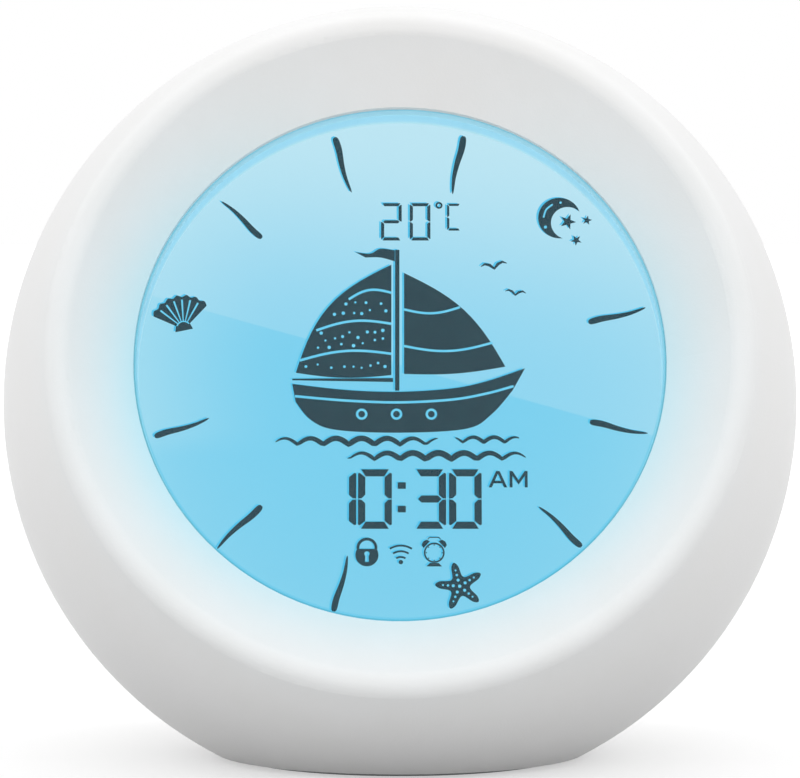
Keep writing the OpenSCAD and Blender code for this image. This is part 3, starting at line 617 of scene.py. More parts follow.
# %% [markdown]
# The light sources have a yellow phosphor in a white cup: sixteen in a ring behind the dish, and a row
# at the upper edge of the light guide. The loudspeaker has a paper cone with a rubber roll. Wires come in
# pairs, one red and one black, told apart by the side they run on.

# %% Lights, loudspeaker, wires and the light guide
LIGHTS = 16
LIGHT_CIRCLE = 59.2
LIGHT_STEP = 6
ROLL_R = 11
CUP, PHOSPHOR = (238, 237, 230), (232, 206, 92)

ring_light = moulded("led_body", None, 0.4, 10)
x, y, w = ring_light.axes(FACE)
radius = ring_light.distance(x, y)
step = 2 * math.pi / LIGHTS
sideways = radius * (y.maths("ARCTAN2", x).maths("FLOORED_MODULO", step) - step / 2)
far = ring_light.distance((radius - LIGHT_CIRCLE) / 1.25, sideways / 0.95)
phosphor = ring_light.between(far, 0.95, 1.05, 1, 0) * ring_light.between(w, 21.3, 21.4)
ring_light.set(Base_Color=ring_light.mix(phosphor, CUP, PHOSPHOR))
ring_light.bump(1 - phosphor, 100)
dress(ring_light, "light_leds")

row_light = moulded("bar_led_body", None, 0.4, 10)
x, y, w = row_light.axes(FACE)
row_light.split((x / LIGHT_STEP + 0.5).maths("PINGPONG", 0.5), 0.28, 0.3, CUP, PHOSPHOR)
dress(row_light, "backlight_leds")

paper = moulded("cone_paper", None, 0.85, 60, 900)
x, y, w = paper.axes(REAR)
roll = paper.between(paper.distance(x, y), ROLL_R - 0.1, ROLL_R + 0.1)
paper.set(Base_Color=paper.mix(roll, (58, 55, 52), (28, 28, 29)), Roughness=0.85 - 0.4 * roll)
dress(paper, "speaker_cone")

for name, node, matrix, side in (
        ("speaker_wires", "speaker_leads", REAR, lambda x, y, w: x),
        ("light_wires", "light_leads", FACE, lambda x, y, w: y - (x - 38) * 0.26),
        ("cell_wires", "cell_leads", TABLE, lambda x, y, w: x - (w - 11) * 0.41)):
    wires = moulded(name, None, 0.42, 10)
    wires.split(side(*wires.axes(matrix)), -0.05, 0.05, (34, 34, 36), (186, 38, 34))
    dress(wires, node)

ribbon = moulded("ribbon_grey", None, 0.5, 10)
x, y, w = ribbon.axes(TABLE)
ribbon.split(x, 4.95, 5.05, (176, 178, 180), (188, 56, 50))
ribbon.bump(x.maths("PINGPONG", 0.5), 400)
dress(ribbon, "ribbon_cable")

guide = moulded("guide_clear", ((226, 238, 242), (232, 242, 245)), 0.12, 10, Transmission_Weight=0.8)
dots = guide.node("ShaderNodeTexVoronoi", {"Vector": guide.place(), "Scale": 900, "Randomness": 0})
guide.bump(guide.between(dots, 0.2, 0.25), 100)
dress(guide, "light_guide")
plain = [name for name, solid in solids.items() if len(solid.material_slots[0].material.node_tree.nodes) < 5]
print("finishes:", len(bpy.data.materials), "solids still plain:", plain)

# %% [markdown]
# Everything printed on the display is a flat shape a few hundredths of a millimetre thick, just in front
# of the panel. A two-dimensional curve that is filled does this well: each outline is a closed line, and
# an outline inside another cuts a hole. The curve becomes a mesh, its corners are merged, and a matrix
# puts it in place.

# %% Flat shapes from outlines
def as_mesh(name, work):
    """A new mesh from one that is being worked on."""
    mesh = bpy.data.meshes.new(name)
    work.to_mesh(mesh)
    work.free()
    return mesh


def plain_mesh(holder):
    """Turns an object's finished shape into a mesh of its own, and removes the object."""
    bpy.context.view_layer.update()
    graph = bpy.context.evaluated_depsgraph_get()
    mesh = bpy.data.meshes.new_from_object(holder.evaluated_get(graph))
    bpy.data.objects.remove(holder)
    return mesh


def tidy_mesh(mesh, matrix, merge=1e-6):
    """Moves a mesh into place, merges its doubles and turns its faces outwards."""
    mesh.transform(matrix)
    work = bmesh.new()
    work.from_mesh(mesh)
    bmesh.ops.remove_doubles(work, verts=work.verts, dist=merge)
    bmesh.ops.dissolve_degenerate(work, edges=work.edges, dist=merge / 10)
    bmesh.ops.recalc_face_normals(work, faces=work.faces)
    work.to_mesh(mesh)
    work.free()
    return mesh


def cut_sheets(name, groups, low, high, place):
    """Flat closed shapes between two heights in mm. Each group is a list of outlines."""
    work = bmesh.new()
    for group in groups:
        flat = bpy.data.curves.new(name, "CURVE")
        flat.dimensions, flat.fill_mode, flat.extrude = "2D", "BOTH", (high - low) / 2
        for outline in group:
            line = flat.splines.new("POLY")
            line.points.add(len(outline) - 1)
            for point, (x, y) in zip(line.points, outline):
                point.co = (x, y, 0, 1)
            line.use_cyclic_u = True
        mesh = plain_mesh(new_object(name, flat))
        mesh.transform(Matrix.Translation((0, 0, (low + high) / 2)))
        work.from_mesh(mesh)
        bpy.data.meshes.remove(mesh)
    return tidy_mesh(as_mesh(name, work), place)


def add_piece(name, mesh, finish, body="clock"):
    """Puts a finished mesh in the scene as a piece that rides on a body."""
    piece = new_object(name, mesh)
    mesh.materials.clear()
    mesh.materials.append(finish.material)
    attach(piece, body)


def arc(cx, cy, r, start, end, steps=24):
    """Points on a circle from one angle to another, in degrees."""
    points = [polar(r, start + (end - start) * i / steps) for i in range(steps + 1)]
    return [(cx + x, cy + y) for x, y in points]


def circle(cx, cy, r, steps=28):
    return arc(cx, cy, r, 0, 360, steps)[:-1]


def rectangle(x0, y0, x1, y1):
    return [(x0, y0), (x1, y0), (x1, y1), (x0, y1)]


def smooth(points, steps=5):
    """A rounded line through points, by Catmull and Rom's rule."""
    line, out = [points[0], *points, points[-1]], []
    for a, b, c, d in zip(line, line[1:], line[2:], line[3:]):
        for t in (step / steps for step in range(steps)):
            out.append(tuple(0.5 * (2 * b[n] + (c[n] - a[n]) * t
                                    + (2 * a[n] - 5 * b[n] + 4 * c[n] - d[n]) * t * t
                                    + (3 * b[n] - a[n] - 3 * c[n] + d[n]) * t ** 3) for n in (0, 1)))
    return out + [points[-1]]


def smooth_ring(points, steps=6):
    """A closed rounded line through points."""
    return smooth([points[-1], *points, *points[:2]], steps)[steps:-steps - 1]


def band(points, widths):
    """The outline of a stroke along points. Widths is one width, or one for each point."""
    if not hasattr(widths, "__len__"):
        widths = [widths] * len(points)
    left, right = [], []
    for i, (x, y) in enumerate(points):
        ax, ay = points[max(i - 1, 0)]
        bx, by = points[min(i + 1, len(points) - 1)]
        run = math.hypot(bx - ax, by - ay)
        nx, ny = (ay - by) / run * widths[i] / 2, (bx - ax) / run * widths[i] / 2
        left.append((x + nx, y + ny))
        right.append((x - nx, y - ny))
    return left + right[::-1]


def moved(outline, x=0, y=0, turn=0, size=1):
    """An outline scaled, turned by degrees and then moved."""
    c, s = polar(size, turn)
    return [(x + c * px - s * py, y + s * px + c * py) for px, py in outline]


print("a circle has", len(circle(0, 0, 1)), "corners")

# %% [markdown]
# The display prints in two inks. The dark one is the crystal itself when it blocks the light, and each
# dark shape has a painted shadow, a saturated cyan copy a third of a millimetre up and to the left, for its
# shadow on the reflector behind. The cyan lines inside the dark shapes are gaps in them.

# %% The inks of the display
PAINTED_SHADOW_SHIFT = (-0.34, 0.17)
PAINTED_SHADOW_LAYER, DARK_LAYER, LINE_LAYER = ((SCREEN_FRONT + low, SCREEN_FRONT + high) for low, high in (
    (0, 0.02), (0.02, 0.05), (0.05, 0.07)))


def ink(name, colour, shade):
    """An ink that is lit evenly, with faint uneven density."""
    finish = Finish(name, Base_Color=(0.002, 0.003, 0.004, 1), Roughness=0.6,
                    Specular_IOR_Level=0.1, Emission_Strength=1)
    density = finish.clouds(finish.place(), 420, 3)
    finish.set(Emission_Color=finish.mix(density, colour, shade))
    return finish


dark_ink = ink("dark_ink", (34, 66, 76), (30, 61, 72))
# Painted shadow: a saturated cyan copy of each dark shape, shifted up and to the left.
ghost_ink = ink("ghost_ink", (72, 190, 233), (84, 198, 236))
line_ink = ink("line_ink", (96, 200, 236), (108, 206, 238))


def printed(name, dark, lines=()):
    """Dark shapes with their painted shadows, and pale lines over them."""
    painted_shadows = [[moved(outline, *PAINTED_SHADOW_SHIFT) for outline in group] for group in dark]
    for ending, groups, layer, finish in (("", dark, DARK_LAYER, dark_ink),
                                          ("_ghost", painted_shadows, PAINTED_SHADOW_LAYER, ghost_ink),
                                          ("_lines", lines, LINE_LAYER, line_ink)):
        if groups:
            add_piece(name + ending, cut_sheets(name + ending, groups, *layer, FACE), finish)


print("inks:", dark_ink.material.name, ghost_ink.material.name, line_ink.material.name)

# %% [markdown]
# The clock's figures are built from seven bars each, with slanted ends that leave thin gaps. One helper
# draws any figure in a box of any size.

# %% Time, temperature and letters
BARS = {"0": "abcdef", "1": "bc", "2": "abdeg", "3": "abcdg", "C": "adef"}
LETTERS_Y = -20.6


def figure(sign, x, y, w, h, t, gap):
    """The bars of a figure whose lower left corner is at x, y. The bars are t thick."""
    m, half = h / 2, t / 2
    top = [(0.3 * t + gap, h), (w - 0.3 * t - gap, h), (w - t - 0.3 * gap, h - t), (t + 0.3 * gap, h - t)]
    right = [(w, h - 0.6 * t), (w, m + 0.5 * gap), (w - half, m + gap), (w - t, m + half + gap),
             (w - t, h - t - gap), (w - 0.25 * t, h - 0.5 * t)]
    middle = [(half + gap, m), (t + gap, m + half), (w - t - gap, m + half), (w - half - gap, m),
              (w - t - gap, m - half), (t + gap, m - half)]
    left = [(w - px, py) for px, py in right]
    low_right, bottom, low_left = ([(px, h - py) for px, py in bar] for bar in (right, top, left))
    bars = dict(zip("abcdefg", (top, right, low_right, bottom, low_left, left, middle)))
    return [[moved(bars[name], x, y)] for name in BARS[sign]]


time_shapes = [bar for sign, x, w in (("1", -13.1, 5.6), ("0", -7.2, 5.8), ("3", 2.3, 5.6), ("0", 8.4, 5.6))
               for bar in figure(sign, x, -27.9, w, 10.5, 1.25, 0.14)]
time_shapes += [[rectangle(-0.4, y, 1.0, y + 1.15)] for y in (-20.85, -25.0)]
printed("time_figures", time_shapes)

warmth = [bar for sign, x in (("2", -3.3), ("0", 1.7)) for bar in figure(sign, x, 23.7, 3.6, 6.8, 0.55, 0.1)]
warmth += [[circle(6.8, 30.1, 0.62), circle(6.8, 30.1, 0.3)]]
printed("temperature_figures", warmth + figure("C", 8.2, 25.5, 2.4, 4.9, 0.4, 0.1))

letter_a = [[(0, 0), (1.3, 2.9), (1.9, 2.9), (3.2, 0), (2.65, 0), (2.33, 0.72), (0.87, 0.72), (0.55, 0)],
            [(1.06, 1.17), (2.14, 1.17), (1.6, 2.42)]]
letter_m = [[(0, 0), (0, 2.9), (0.5, 2.9), (1.55, 1.3), (2.6, 2.9), (3.1, 2.9), (3.1, 0), (2.6, 0),
             (2.6, 2.0), (1.55, 0.5), (0.5, 2.0), (0.5, 0)]]
printed("morning_letters", [[moved(outline, x, LETTERS_Y) for outline in letter]
                            for letter, x in ((letter_a, 15.2), (letter_m, 18.8))])
print("time is made of", len(time_shapes), "bars and dots")

# %% [markdown]
# Three small signs stand under the time: a padlock for locked keys, waves for the radio, and an alarm
# clock. Rings are circles with a smaller circle cut out of them, and arcs are bands.

# %% Signs under the time
keyhole = arc(-5.65, -32.3, 0.46, -55, 235, 12) + [(-6, -33.7), (-5.3, -33.7)]
padlock = [[arc(-5.65, -32.5, 1.98, -213, 33, 28), keyhole],
           [band(arc(-5.65, -31.25, 1.55, -6, 186, 20), 0.5)]]
waves = [[band(arc(0.15, -34.3, r, 57, 123, 14), 0.33)] for r in (1.45, 2.45, 3.45)]
waves.append([circle(0.15, -33.75, 0.38, 16)])
bell = [(-0.95, -0.42), (0.95, -0.42), (0.75, 0.3), (0, 0.55), (-0.75, 0.3)]
alarm = [[circle(5.85, -32.1, 1.78, 32), circle(5.85, -32.1, 1.5, 32)],
         [moved(bell, 4.3, -30.45, 48, 0.85)], [moved(bell, 7.4, -30.45, -48, 0.85)],
         [band([(4.75, -29.75), (5.05, -29.4), (6.65, -29.4), (6.95, -29.75)], 0.18)],
         [[(4.5, -34.5), (7.2, -34.5), (6.6, -33.9), (5.1, -33.9)]]]
alarm += [[circle(x, y, 0.12, 8)] for x, y in circle(5.85, -32.1, 1.36, 8)]
printed("status_signs", padlock + waves + alarm)
print("signs:", len(padlock) + len(waves) + len(alarm), "shapes")

# %% [markdown]
# The dial has twelve places. Nine carry a mark like a stroke of a brush, thick at one end, and three
# carry a small motif. Geometry Nodes set the marks out: a circle of points, without every fourth one,
# gets the mark at each point, turned outwards. A seed decides which marks stand on their thin end and
# how far each one wobbles, so the row looks drawn by hand and is the same each time.

# %% A helper for Geometry Nodes
class Pattern(Network):
    """A Geometry Nodes tree with named inputs, whose result is made a plain mesh."""

    def __init__(self, name, **inputs):
        super().__init__(bpy.data.node_groups.new(name, "GeometryNodeTree"))
        sockets = self.tree.interface
        sockets.new_socket("Geometry", in_out="OUTPUT", socket_type="NodeSocketGeometry")
        inputs = {"Geometry": "Geometry", **inputs, "Seed": "Int", "Material": "Material"}
        self.keys = {}
        for label, kind in inputs.items():
            socket = sockets.new_socket(label, in_out="INPUT", socket_type="NodeSocket" + kind)
            self.keys[label] = socket.identifier
        start = self.tree.nodes.new("NodeGroupInput")
        self.given = {socket.name: Wire(self, socket) for socket in start.outputs if socket.name}
        self.end = self.tree.nodes.new("NodeGroupOutput")

    def turn(self, angle):
        """A turn about z by an angle in radians."""
        return self.node("FunctionNodeAxisAngleToRotation", {"Axis": (0, 0, 1), "Angle": angle})

    def random(self, low, high, shift=0):
        """A random number for each point. Another shift of the seed gives another row of them."""
        seed = self.given["Seed"] + shift if shift else self.given["Seed"]
        return self.node("FunctionNodeRandomValue", {2: low, 3: high, 8: seed}, 1, data_type="FLOAT")

    def flat_size(self, low, high, shift=0):
        """A random size in x and y that leaves the thickness as it is."""
        size = self.random(low, high, shift)
        return self.vector(size, size, 1)

    def scatter(self, density):
        """Points on the starting faces, none of them closer together than Spacing."""
        return self.node("GeometryNodeDistributePointsOnFaces", {
            "Mesh": self.given["Geometry"], "Distance Min": self.given["Spacing"], "Density Max": density,
            "Seed": self.given["Seed"]}, distribute_method="POISSON")

    def copies(self, points, shape, **inputs):
        """A copy of a shape on each point."""
        return self.node("GeometryNodeInstanceOnPoints", {"Points": points, "Instance": shape, **inputs})

    def finish_with(self, instances):
        """Ends the tree: instances become real, and get their material."""
        real = self.node("GeometryNodeRealizeInstances", {0: instances})
        self.feed(self.end.inputs[0], self.node("GeometryNodeSetMaterial", {
            "Geometry": real, "Material": self.given["Material"]}))

    def run(self, name, mesh, finish, **values):
        """The mesh that the tree makes from a starting mesh, a finish and its other inputs."""
        holder = new_object(name, mesh)
        modifier = holder.modifiers.new(name, "NODES")
        modifier.node_group = self.tree
        for label, value in dict(values, Material=finish.material).items():
            modifier[self.keys[label]] = value
        made = plain_mesh(holder)
        made.name = name
        return made


print("kinds of node trees:", [kind.__name__ for kind in Network.__subclasses__()])

# %% [markdown]
# The mark itself is one band, drawn round its own middle with a width for each point. Only whole numbers
# that leave no rest of 1 when divided by four are wanted, which keeps three places free.

# %% The nine marks of the dial
DIAL_PLACES = 12
MARK_CIRCLE = 38.9
MARK = band(smooth([(-5.2, -0.25), (-2.6, 0.1), (0, 0.12), (2.8, -0.08), (5.1, 0.05)]),
            [0.12, 0.3, 0.42, 0.5, 0.56, 0.62, 0.67, 0.72, 0.77, 0.82, 0.87, 0.92, 0.97, 1.02, 1.06, 1.1,
             1.12, 1.12, 1.08, 0.92, 0.5])


def dial_tree():
    pattern = Pattern("dial_marks", Count="Int", Radius="Float", Wobble="Float")
    given = pattern.given
    ring = pattern.node("GeometryNodeMeshCircle", {"Vertices": given["Count"], "Radius": given["Radius"]})
    step = 2 * math.pi / given["Count"]
    ring = pattern.node("GeometryNodeTransform", {"Geometry": ring, "Rotation": pattern.turn(step / 2)})
    index = pattern.node("GeometryNodeInputIndex")
    wanted = pattern.node("FunctionNodeCompare", {0: abs(index.maths("MODULO", 4) - 1), 1: 0.5},
                          operation="GREATER_THAN")
    half_turn = pattern.random(0, 1).maths("ROUND") * math.pi
    wobble = pattern.random(-1, 1, 1) * given["Wobble"]
    angle = pattern.turn((index + 0.5) * step + half_turn + wobble)
    pattern.finish_with(pattern.copies(ring, given["Geometry"], Selection=wanted, Rotation=angle,
                                       Scale=pattern.flat_size(0.93, 1.05, 2)))
    return pattern


dial = dial_tree()
for name, (low, high), finish, shift in (("dial_marks", DARK_LAYER, dark_ink, (0, 0)),
                                         ("dial_marks_ghost", PAINTED_SHADOW_LAYER, ghost_ink, PAINTED_SHADOW_SHIFT)):
    half = (high - low) / 2
    one_mark = cut_sheets(name, [[MARK]], -half, half, Matrix.Identity(4))
    marks = dial.run(name, one_mark, finish, Count=DIAL_PLACES, Radius=MARK_CIRCLE, Wobble=0.05, Seed=7)
    place = FACE @ Matrix.Translation((*shift, low + half))
    add_piece(name, tidy_mesh(marks, place, 1e-7), finish)
    print(name, len(marks.polygons), "faces")

# %% [markdown]
# The three motifs are a crescent moon with stars, a starfish and a scallop shell. They are drawn round
# their own middle, the shell round its hinge, and then moved to their place on the dial.

# %% Motifs of the dial
MOTIF_CIRCLE = 39.3
RIBS = 7
RIB_STEP = 16


def star(r_out, r_in, turn, points=5):
    """A star round 0, 0 with its tips and its notches in turn."""
    return [polar(r, turn + 90 + (k + shift) * 360 / points)
            for k in range(points) for r, shift in ((r_out, 0), (r_in, 0.5))]


def on_dial(groups, degrees, turn):
    """Groups drawn round 0, 0, moved to an angle counted clockwise from the top of the dial."""
    x, y = polar(MOTIF_CIRCLE, 90 - degrees)
    return [[moved(outline, x, y, turn) for outline in group] for group in groups]


crescent = arc(0, 0, 3.7, 50, 310, 36) + arc(1.7, 0, 2.92, 284.1, 75.9, 30)
moon = [[crescent]] + [[moved(star(size, 0.4 * size, turn), x, y)] for size, x, y, turn in (
    (1.45, 1.6, 0.2, 12), (1.0, 4.6, -1.9, -10), (0.9, 4.3, 2.2, 20))]
moon_lines = [[band(smooth([(-2.3, 1.5), (-2.75, 0.1), (-2.4, -1.4)]), 0.3)],
              [circle(-1.2, -2.7, 0.28, 10)], [circle(-1.3, 2.5, 0.22, 10)]]

arm = ((1.75, 54), (3.5, 80), (4.2, 90), (3.5, 100))
starfish = [[smooth_ring([polar(r, degrees + 72 * k) for k in range(5) for r, degrees in arm])]]
starfish_lines = [[circle(*polar(r, 90 + 72 * k), size, 10)]
                  for k in range(5) for r, size in ((1.1, 0.27), (2.0, 0.22), (2.85, 0.17))]
starfish_lines.append([circle(0, 0, 0.3, 12)])


def from_hinge(outline):
    return moved(outline, 0, -2.424, 0, 0.82)


fan = [polar(r, degrees - RIB_STEP * k) for k in range(RIBS) for r, degrees in ((6.9, 146), (7.35, 138))]
fan.append(polar(6.9, 34))
scallop = [[from_hinge(smooth(fan) + [(1.5, 0.8), (1.9, -0.5), (-1.9, -0.5), (-1.5, 0.8)])]]
scallop_lines = [[from_hinge(band([polar(r, 130 - RIB_STEP * k) for r in (1.6, 4, 6.3)], [0.2, 0.32, 0.4]))]
                 for k in range(RIBS - 1)]
scallop_lines.append([from_hinge(band(arc(0, 0, 1.5, 150, 30, 10), 0.26))])

dark, lines = [], []
for shapes, pale_shapes, degrees, turn in ((moon, moon_lines, 45, -32), (starfish, starfish_lines, 165, 14),
                                           (scallop, scallop_lines, 285, 12)):
    dark += on_dial(shapes, degrees, turn)
    lines += on_dial(pale_shapes, degrees, turn)
printed("dial_motifs", dark, lines)
print("motifs:", len(dark), "dark shapes")

# %% [markdown]
# The picture in the middle is a sailing boat on waves: dark sails and hull with pale seams, three
# portholes, a pennant and two birds. Its shapes are rounded lines through a few chosen points.

# %% The sailing boat
def leaning(x0, y0, x1, y1, bow, steps=14):
    """An open line between two points, bowed sideways by a length in mm."""
    run = math.hypot(x1 - x0, y1 - y0)
    nx, ny = bow * (y1 - y0) / run, bow * (x0 - x1) / run
    return [(x0 + (x1 - x0) * t + nx * math.sin(math.pi * t), y0 + (y1 - y0) * t + ny * math.sin(math.pi * t))
            for t in (i / steps for i in range(steps + 1))]


def wave_line(x0, x1, y, height, length, width, steps=60):
    """A line of round waves that tapers at both ends."""
    places = [x0 + (x1 - x0) * i / steps for i in range(steps + 1)]
    points = [(x, y + height * abs(math.sin(math.pi * x / length))) for x in places]
    swell = [math.sin(math.pi * i / steps) ** 0.6 for i in range(steps + 1)]
    return band(points, [0.15 + (width - 0.15) * part for part in swell])


main_sail = leaning(-1.5, 19.3, -18.0, -0.2, 3.4) + leaning(-18.0, -0.2, -1.5, -0.6, 0.7)[1:]
jib = leaning(0.7, 17.8, 18.2, 0.9, -2.4) + leaning(18.2, 0.9, 0.7, -0.4, -0.6)[1:]
deck = smooth([(-18.6, -2.2), (-9, -3.3), (0, -3.6), (9, -3.0), (15, -1.7), (21.6, 0.6)], 6)
keel = smooth([(19.4, -3.4), (15.8, -7.6), (11.4, -10.2), (0, -10.9), (-11, -10.4), (-15.4, -8.6),
               (-18.0, -5.4)], 6)
pennant = (smooth([(-0.9, 21.9), (-3.4, 22.2), (-5.2, 21.3), (-7.8, 21.6)])
           + smooth([(-6.0, 20.6), (-3.4, 20.6), (-0.9, 19.9)]))
bird = band([(-1.9, 0.55), (-1.3, 0.85), (-0.6, 0.6), (0, 0), (0.6, 0.6), (1.3, 0.85), (1.9, 0.55)],
            [0.1, 0.35, 0.45, 0.4, 0.45, 0.35, 0.1])
picture = [[main_sail], [jib], [deck + keel], [pennant], [rectangle(-0.85, -3.4, -0.1, 22.0)],
           [band([(-18.6, -1.4), (-1.2, -1.5)], [0.3, 0.7])],
           [wave_line(-21.4, 6.5, -13.0, 1.1, 4.4, 1.0)], [wave_line(-9.0, 21.6, -15.6, 1.1, 4.4, 1.1)],
           [wave_line(9.5, 20.5, -12.6, 0.9, 3.6, 0.7)],
           [moved(bird, 16.4, 18.6, 8, 1.2)], [moved(bird, 20.0, 13.8, -6, 0.95)]]
seams = [(leaning(-1.5, y, x, y - 1.2, 1.1), 0.44) for y, x in ((14.2, -8.9), (8.6, -14.5), (3.2, -17.3))]
seams += [(leaning(0.7, 11.2, 10.4, 11.6, 0.9), 0.42), (leaning(0.7, 4.6, 16.0, 5.2, 1.2), 0.42)]
seams.append((smooth([(-18.1, -4.4), (-9, -5.2), (0, -5.5), (9, -5.0), (15, -3.9), (19.6, -2.6)], 6), 0.44))
portholes = [[circle(x, -7.6, 1.0, 24), circle(x, -7.6, 0.58, 20)] for x in (-6.6, -0.6, 5.4)]
picture_lines = [[band(line, width)] for line, width in seams] + portholes
printed("picture", picture, picture_lines)
print("picture:", len(picture), "dark shapes and", len(picture_lines), "lines")

# %% [markdown]
# The main sail carries a scatter of small pale flecks. Geometry Nodes drop points on a patch of the sail,
# no two of them close together, and put a flat disc on each.

# %% Flecks on the sail
def flat_patches(name, outlines):
    """Flat faces from outlines, to scatter points on."""
    work = bmesh.new()
    for outline in outlines:
        work.faces.new([work.verts.new((x, y, 0)) for x, y in outline])
    return as_mesh(name, work)


def fleck_tree():
    pattern = Pattern("sail_flecks", Spacing="Float", Size="Float", Thickness="Float")
    given = pattern.given
    fleck = pattern.node("GeometryNodeMeshCylinder", {
        "Vertices": 10, "Radius": given["Size"], "Depth": given["Thickness"]})
    pattern.finish_with(pattern.copies(pattern.scatter(3), fleck, Scale=pattern.flat_size(0.7, 1.2)))
    return pattern


sail_patches = flat_patches("sail_flecks", [
    [(-15.4, 4.2), (-2.4, 4.6), (-2.4, 7.6), (-13.8, 7.0)],
    [(-12.0, 9.9), (-2.4, 10.4), (-2.4, 13.2), (-9.6, 12.6)],
    [(-16.4, 0.7), (-2.4, 0.6), (-2.4, 1.9), (-16.4, 1.2)]])
low, high = LINE_LAYER
flecks = fleck_tree().run("sail_flecks", sail_patches, line_ink, Spacing=1.3, Size=0.27,
                          Thickness=high - low, Seed=3)
tidy_mesh(flecks, FACE @ Matrix.Translation((0, 0, (low + high) / 2)), 1e-7)
add_piece("sail_flecks", flecks, line_ink)
print("flecks:", len(flecks.polygons), "faces")

# %% [markdown]
# The keys carry printed signs: a lamp, a bell and a note on one side, plus, minus and a clock on the
# other. Each key is hollowed to a shallow bowl for the fingertip, so a flat sign is drawn first and its
# corners are then lifted onto the bowl. The sign rides with its key.

# %% Signs on the keys
KEY_TOP = 51.7
BOWL_R = 14.85
BOWL_DEEP = 0.35
SIGN_LOW, SIGN_THICK = KEY_TOP + 0.005, 0.04
sign_ink = moulded("sign_ink", ((112, 128, 138), (124, 139, 148)), 0.5, 10)


def rays(count, inner, outer, width):
    turns = [360 * k / count for k in range(count)]
    return [[band([polar(inner, turn), polar(outer, turn)], width)] for turn in turns]


def ring_shape(r, width):
    return [[circle(0, 0, r, 32), circle(0, 0, r - width, 32)]]


note_flag = smooth([(-0.1, 1.9), (0.5, 1.25), (1.4, 0.9), (1.35, 0.0)]) + [(0.9, 0.55), (-0.1, 1.0)]
clock_hands = [(-0.17, -0.15), (0.17, -0.3), (1.15, 0.25), (1.0, 0.55), (0.17, 0.1), (0.17, 1.35),
               (-0.17, 1.35)]
plus = [(-1.9, -0.25), (-0.25, -0.25), (-0.25, -1.9), (0.25, -1.9), (0.25, -0.25), (1.9, -0.25),
        (1.9, 0.25), (0.25, 0.25), (0.25, 1.9), (-0.25, 1.9), (-0.25, 0.25), (-1.9, 0.25)]
SIGNS = (
    ring_shape(1.05, 0.35) + rays(8, 1.6, 2.3, 0.36),
    [[arc(0, 0.2, 1.35, 0, 180, 16) + [(-1.35, -0.7), (-1.95, -1.25), (1.95, -1.25), (1.35, -0.7)]],
     [circle(0, -1.75, 0.38, 14)], [circle(0, 1.85, 0.3, 12)]],
    [[moved(circle(0, 0, 0.78, 20), -0.75, -1.35)], [rectangle(-0.3, -1.35, 0.05, 1.9)], [note_flag]],
    [[plus]], [[rectangle(-1.9, -0.25, 1.9, 0.25)]],
    ring_shape(2.1, 0.36) + [[clock_hands]])


def lift_onto_bowl(mesh, low):
    """Bends a sign drawn round 0, 0 onto the key's bowl. Heights are in mm."""
    work = bmesh.new()
    work.from_mesh(mesh)
    bmesh.ops.subdivide_edges(work, edges=[e for e in work.edges if e.calc_length() > 0.8], cuts=2)
    for corner in work.verts:
        corner.co.z += low - BOWL_DEEP + BOWL_R - math.sqrt(BOWL_R ** 2 - corner.co.x ** 2 - corner.co.y ** 2)
    work.to_mesh(mesh)
    work.free()


for i, (shapes, degrees) in enumerate(zip(SIGNS, (150, 180, 210, 30, 0, -30)), 1):
    name = "key_%d_sign" % i
    sign = cut_sheets(name, shapes, 0, SIGN_THICK, Matrix.Identity(4))
    lift_onto_bowl(sign, SIGN_LOW)
    tidy_mesh(sign, REAR @ Matrix.Translation((*polar(KEY_CIRCLE, degrees), 0)))
    add_piece(name, sign, sign_ink, body="key_body_%d" % i)
    print(name, len(sign.vertices), "corners")

# %% [markdown]
# The chips stand on bent legs. One leg is an outline from the side, pushed out to its width. Geometry
# Nodes repeat it along a line, and then turn the row round the chip: four sides for the square one, two
# for the small one.

# %% Legs of the chips
def pushed_out(name, outline, width):
    """A solid from an outline in the y, z plane, as wide as width along x."""
    work = bmesh.new()
    ends = [[work.verts.new((x, y, z)) for y, z in outline] for x in (-width / 2, width / 2)]
    work.faces.new(ends[0])
    work.faces.new(ends[1][::-1])
    for k in range(len(outline)):
        n = (k + 1) % len(outline)
        work.faces.new((ends[0][k], ends[1][k], ends[1][n], ends[0][n]))
    bmesh.ops.recalc_face_normals(work, faces=work.faces)
    return as_mesh(name, work)


def leg_tree():
    pattern = Pattern("chip_legs", Count="Int", Pitch="Float", Sides="Int", Out="Float")
    given = pattern.given
    line = pattern.node("GeometryNodeMeshLine", {
        "Count": given["Count"], "Offset": pattern.vector(given["Pitch"]),
        "Start Location": pattern.vector((given["Count"] - 1) * given["Pitch"] * -0.5, given["Out"])})
    row = pattern.copies(line, given["Geometry"])
    turns = pattern.turn(pattern.node("GeometryNodeInputIndex") * 2 * math.pi / given["Sides"])
    hub = pattern.node("GeometryNodePoints", {"Count": given["Sides"]})
    pattern.finish_with(pattern.copies(hub, row, Rotation=turns))
    return pattern


LEG_WIDTH = 0.36
LEG = [(0.0, 0.55), (0.35, 0.55), (0.5, 0.12), (0.95, 0.12), (0.95, 0.01), (0.42, 0.01), (0.27, 0.43),
       (0.0, 0.43)]
BEHIND = FACE @ Matrix.Translation((0, 0, BOARD_BACK)) @ Matrix.Rotation(math.pi, 4, "X")
tin = rolled_metal("tinned_leg", ((196, 197, 195), (216, 217, 214)), 0.3)
chip_legs = leg_tree()
for name, x, y, values in (("controller_legs", -12, 8, dict(Count=11, Pitch=0.95, Sides=4, Out=6)),
                           ("memory_legs", -17.4, -12, dict(Count=4, Pitch=1.2, Sides=2, Out=2.4))):
    legs = chip_legs.run(name, pushed_out("leg", LEG, LEG_WIDTH), tin, **values)
    add_piece(name, tidy_mesh(legs, BEHIND @ Matrix.Translation((x, -y, 0))), tin)
    print(name, len(legs.polygons), "faces")

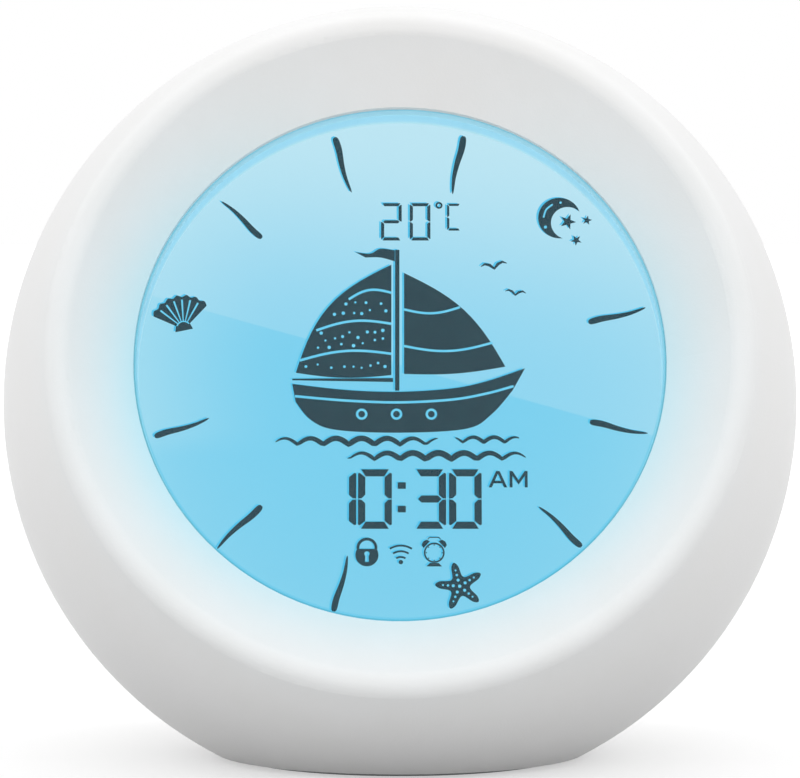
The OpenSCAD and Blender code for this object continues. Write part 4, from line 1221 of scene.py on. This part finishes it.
# %% [markdown]
# The rest of the main board carries small parts for resistors and capacitors. They are scattered on the
# free patches, never closer than a set distance, and turned by quarter turns only, as a machine places
# them. Bodies and tinned ends come from the same seed, so they meet.

# %% Small parts on the main board
def cut_boxes(name, *boxes):
    """Boxes with their edges cut off, so they catch light like real parts."""
    work = bmesh.new()
    for x0, y0, z0, x1, y1, z1 in boxes:
        middle = Matrix.Translation(((x0 + x1) / 2, (y0 + y1) / 2, (z0 + z1) / 2))
        bmesh.ops.create_cube(work, size=1, matrix=middle @ Matrix.Diagonal((x1 - x0, y1 - y0, z1 - z0, 1)))
    bmesh.ops.bevel(work, geom=work.edges[:], offset=0.05, segments=1, affect="EDGES")
    return as_mesh(name, work)


def part_tree():
    pattern = Pattern("small_parts", Spacing="Float", Part="Object")
    part = pattern.node("GeometryNodeObjectInfo", {"Object": pattern.given["Part"]}, "Geometry")
    quarter_turns = pattern.random(-0.5, 3.5).maths("ROUND") * (math.pi / 2)
    pattern.finish_with(pattern.copies(pattern.scatter(1), part, Rotation=pattern.turn(quarter_turns)))
    return pattern


FREE_PATCHES = [rectangle(-36, -18, -25, 20), rectangle(-3, 2, 5, 26), rectangle(12, -18, 32, -6),
                rectangle(-22, 20, -6, 38)]
part_black = moulded("part_black", ((38, 38, 40), (52, 50, 48)), 0.4, 10)
scattered = part_tree()
for name, finish, slot, boxes in (
        ("part_bodies", part_black, "chip_black", [(-0.55, -0.4, 0.02, 0.55, 0.4, 0.5)]),
        ("part_ends", tin, "tin_steel", [(-0.85, -0.42, 0.01, -0.55, 0.42, 0.52),
                                         (0.55, -0.42, 0.01, 0.85, 0.42, 0.52)])):
    holder = new_object(name + "_part", cut_boxes(name, *boxes))
    parts = scattered.run(name, flat_patches(name, FREE_PATCHES), finish, Spacing=2.9, Part=holder, Seed=5)
    bpy.data.objects.remove(holder)
    add_piece(name, tidy_mesh(parts, BEHIND @ Matrix.Diagonal((1, -1, 1, 1))), finish)
    print(name, len(parts.polygons), "faces")
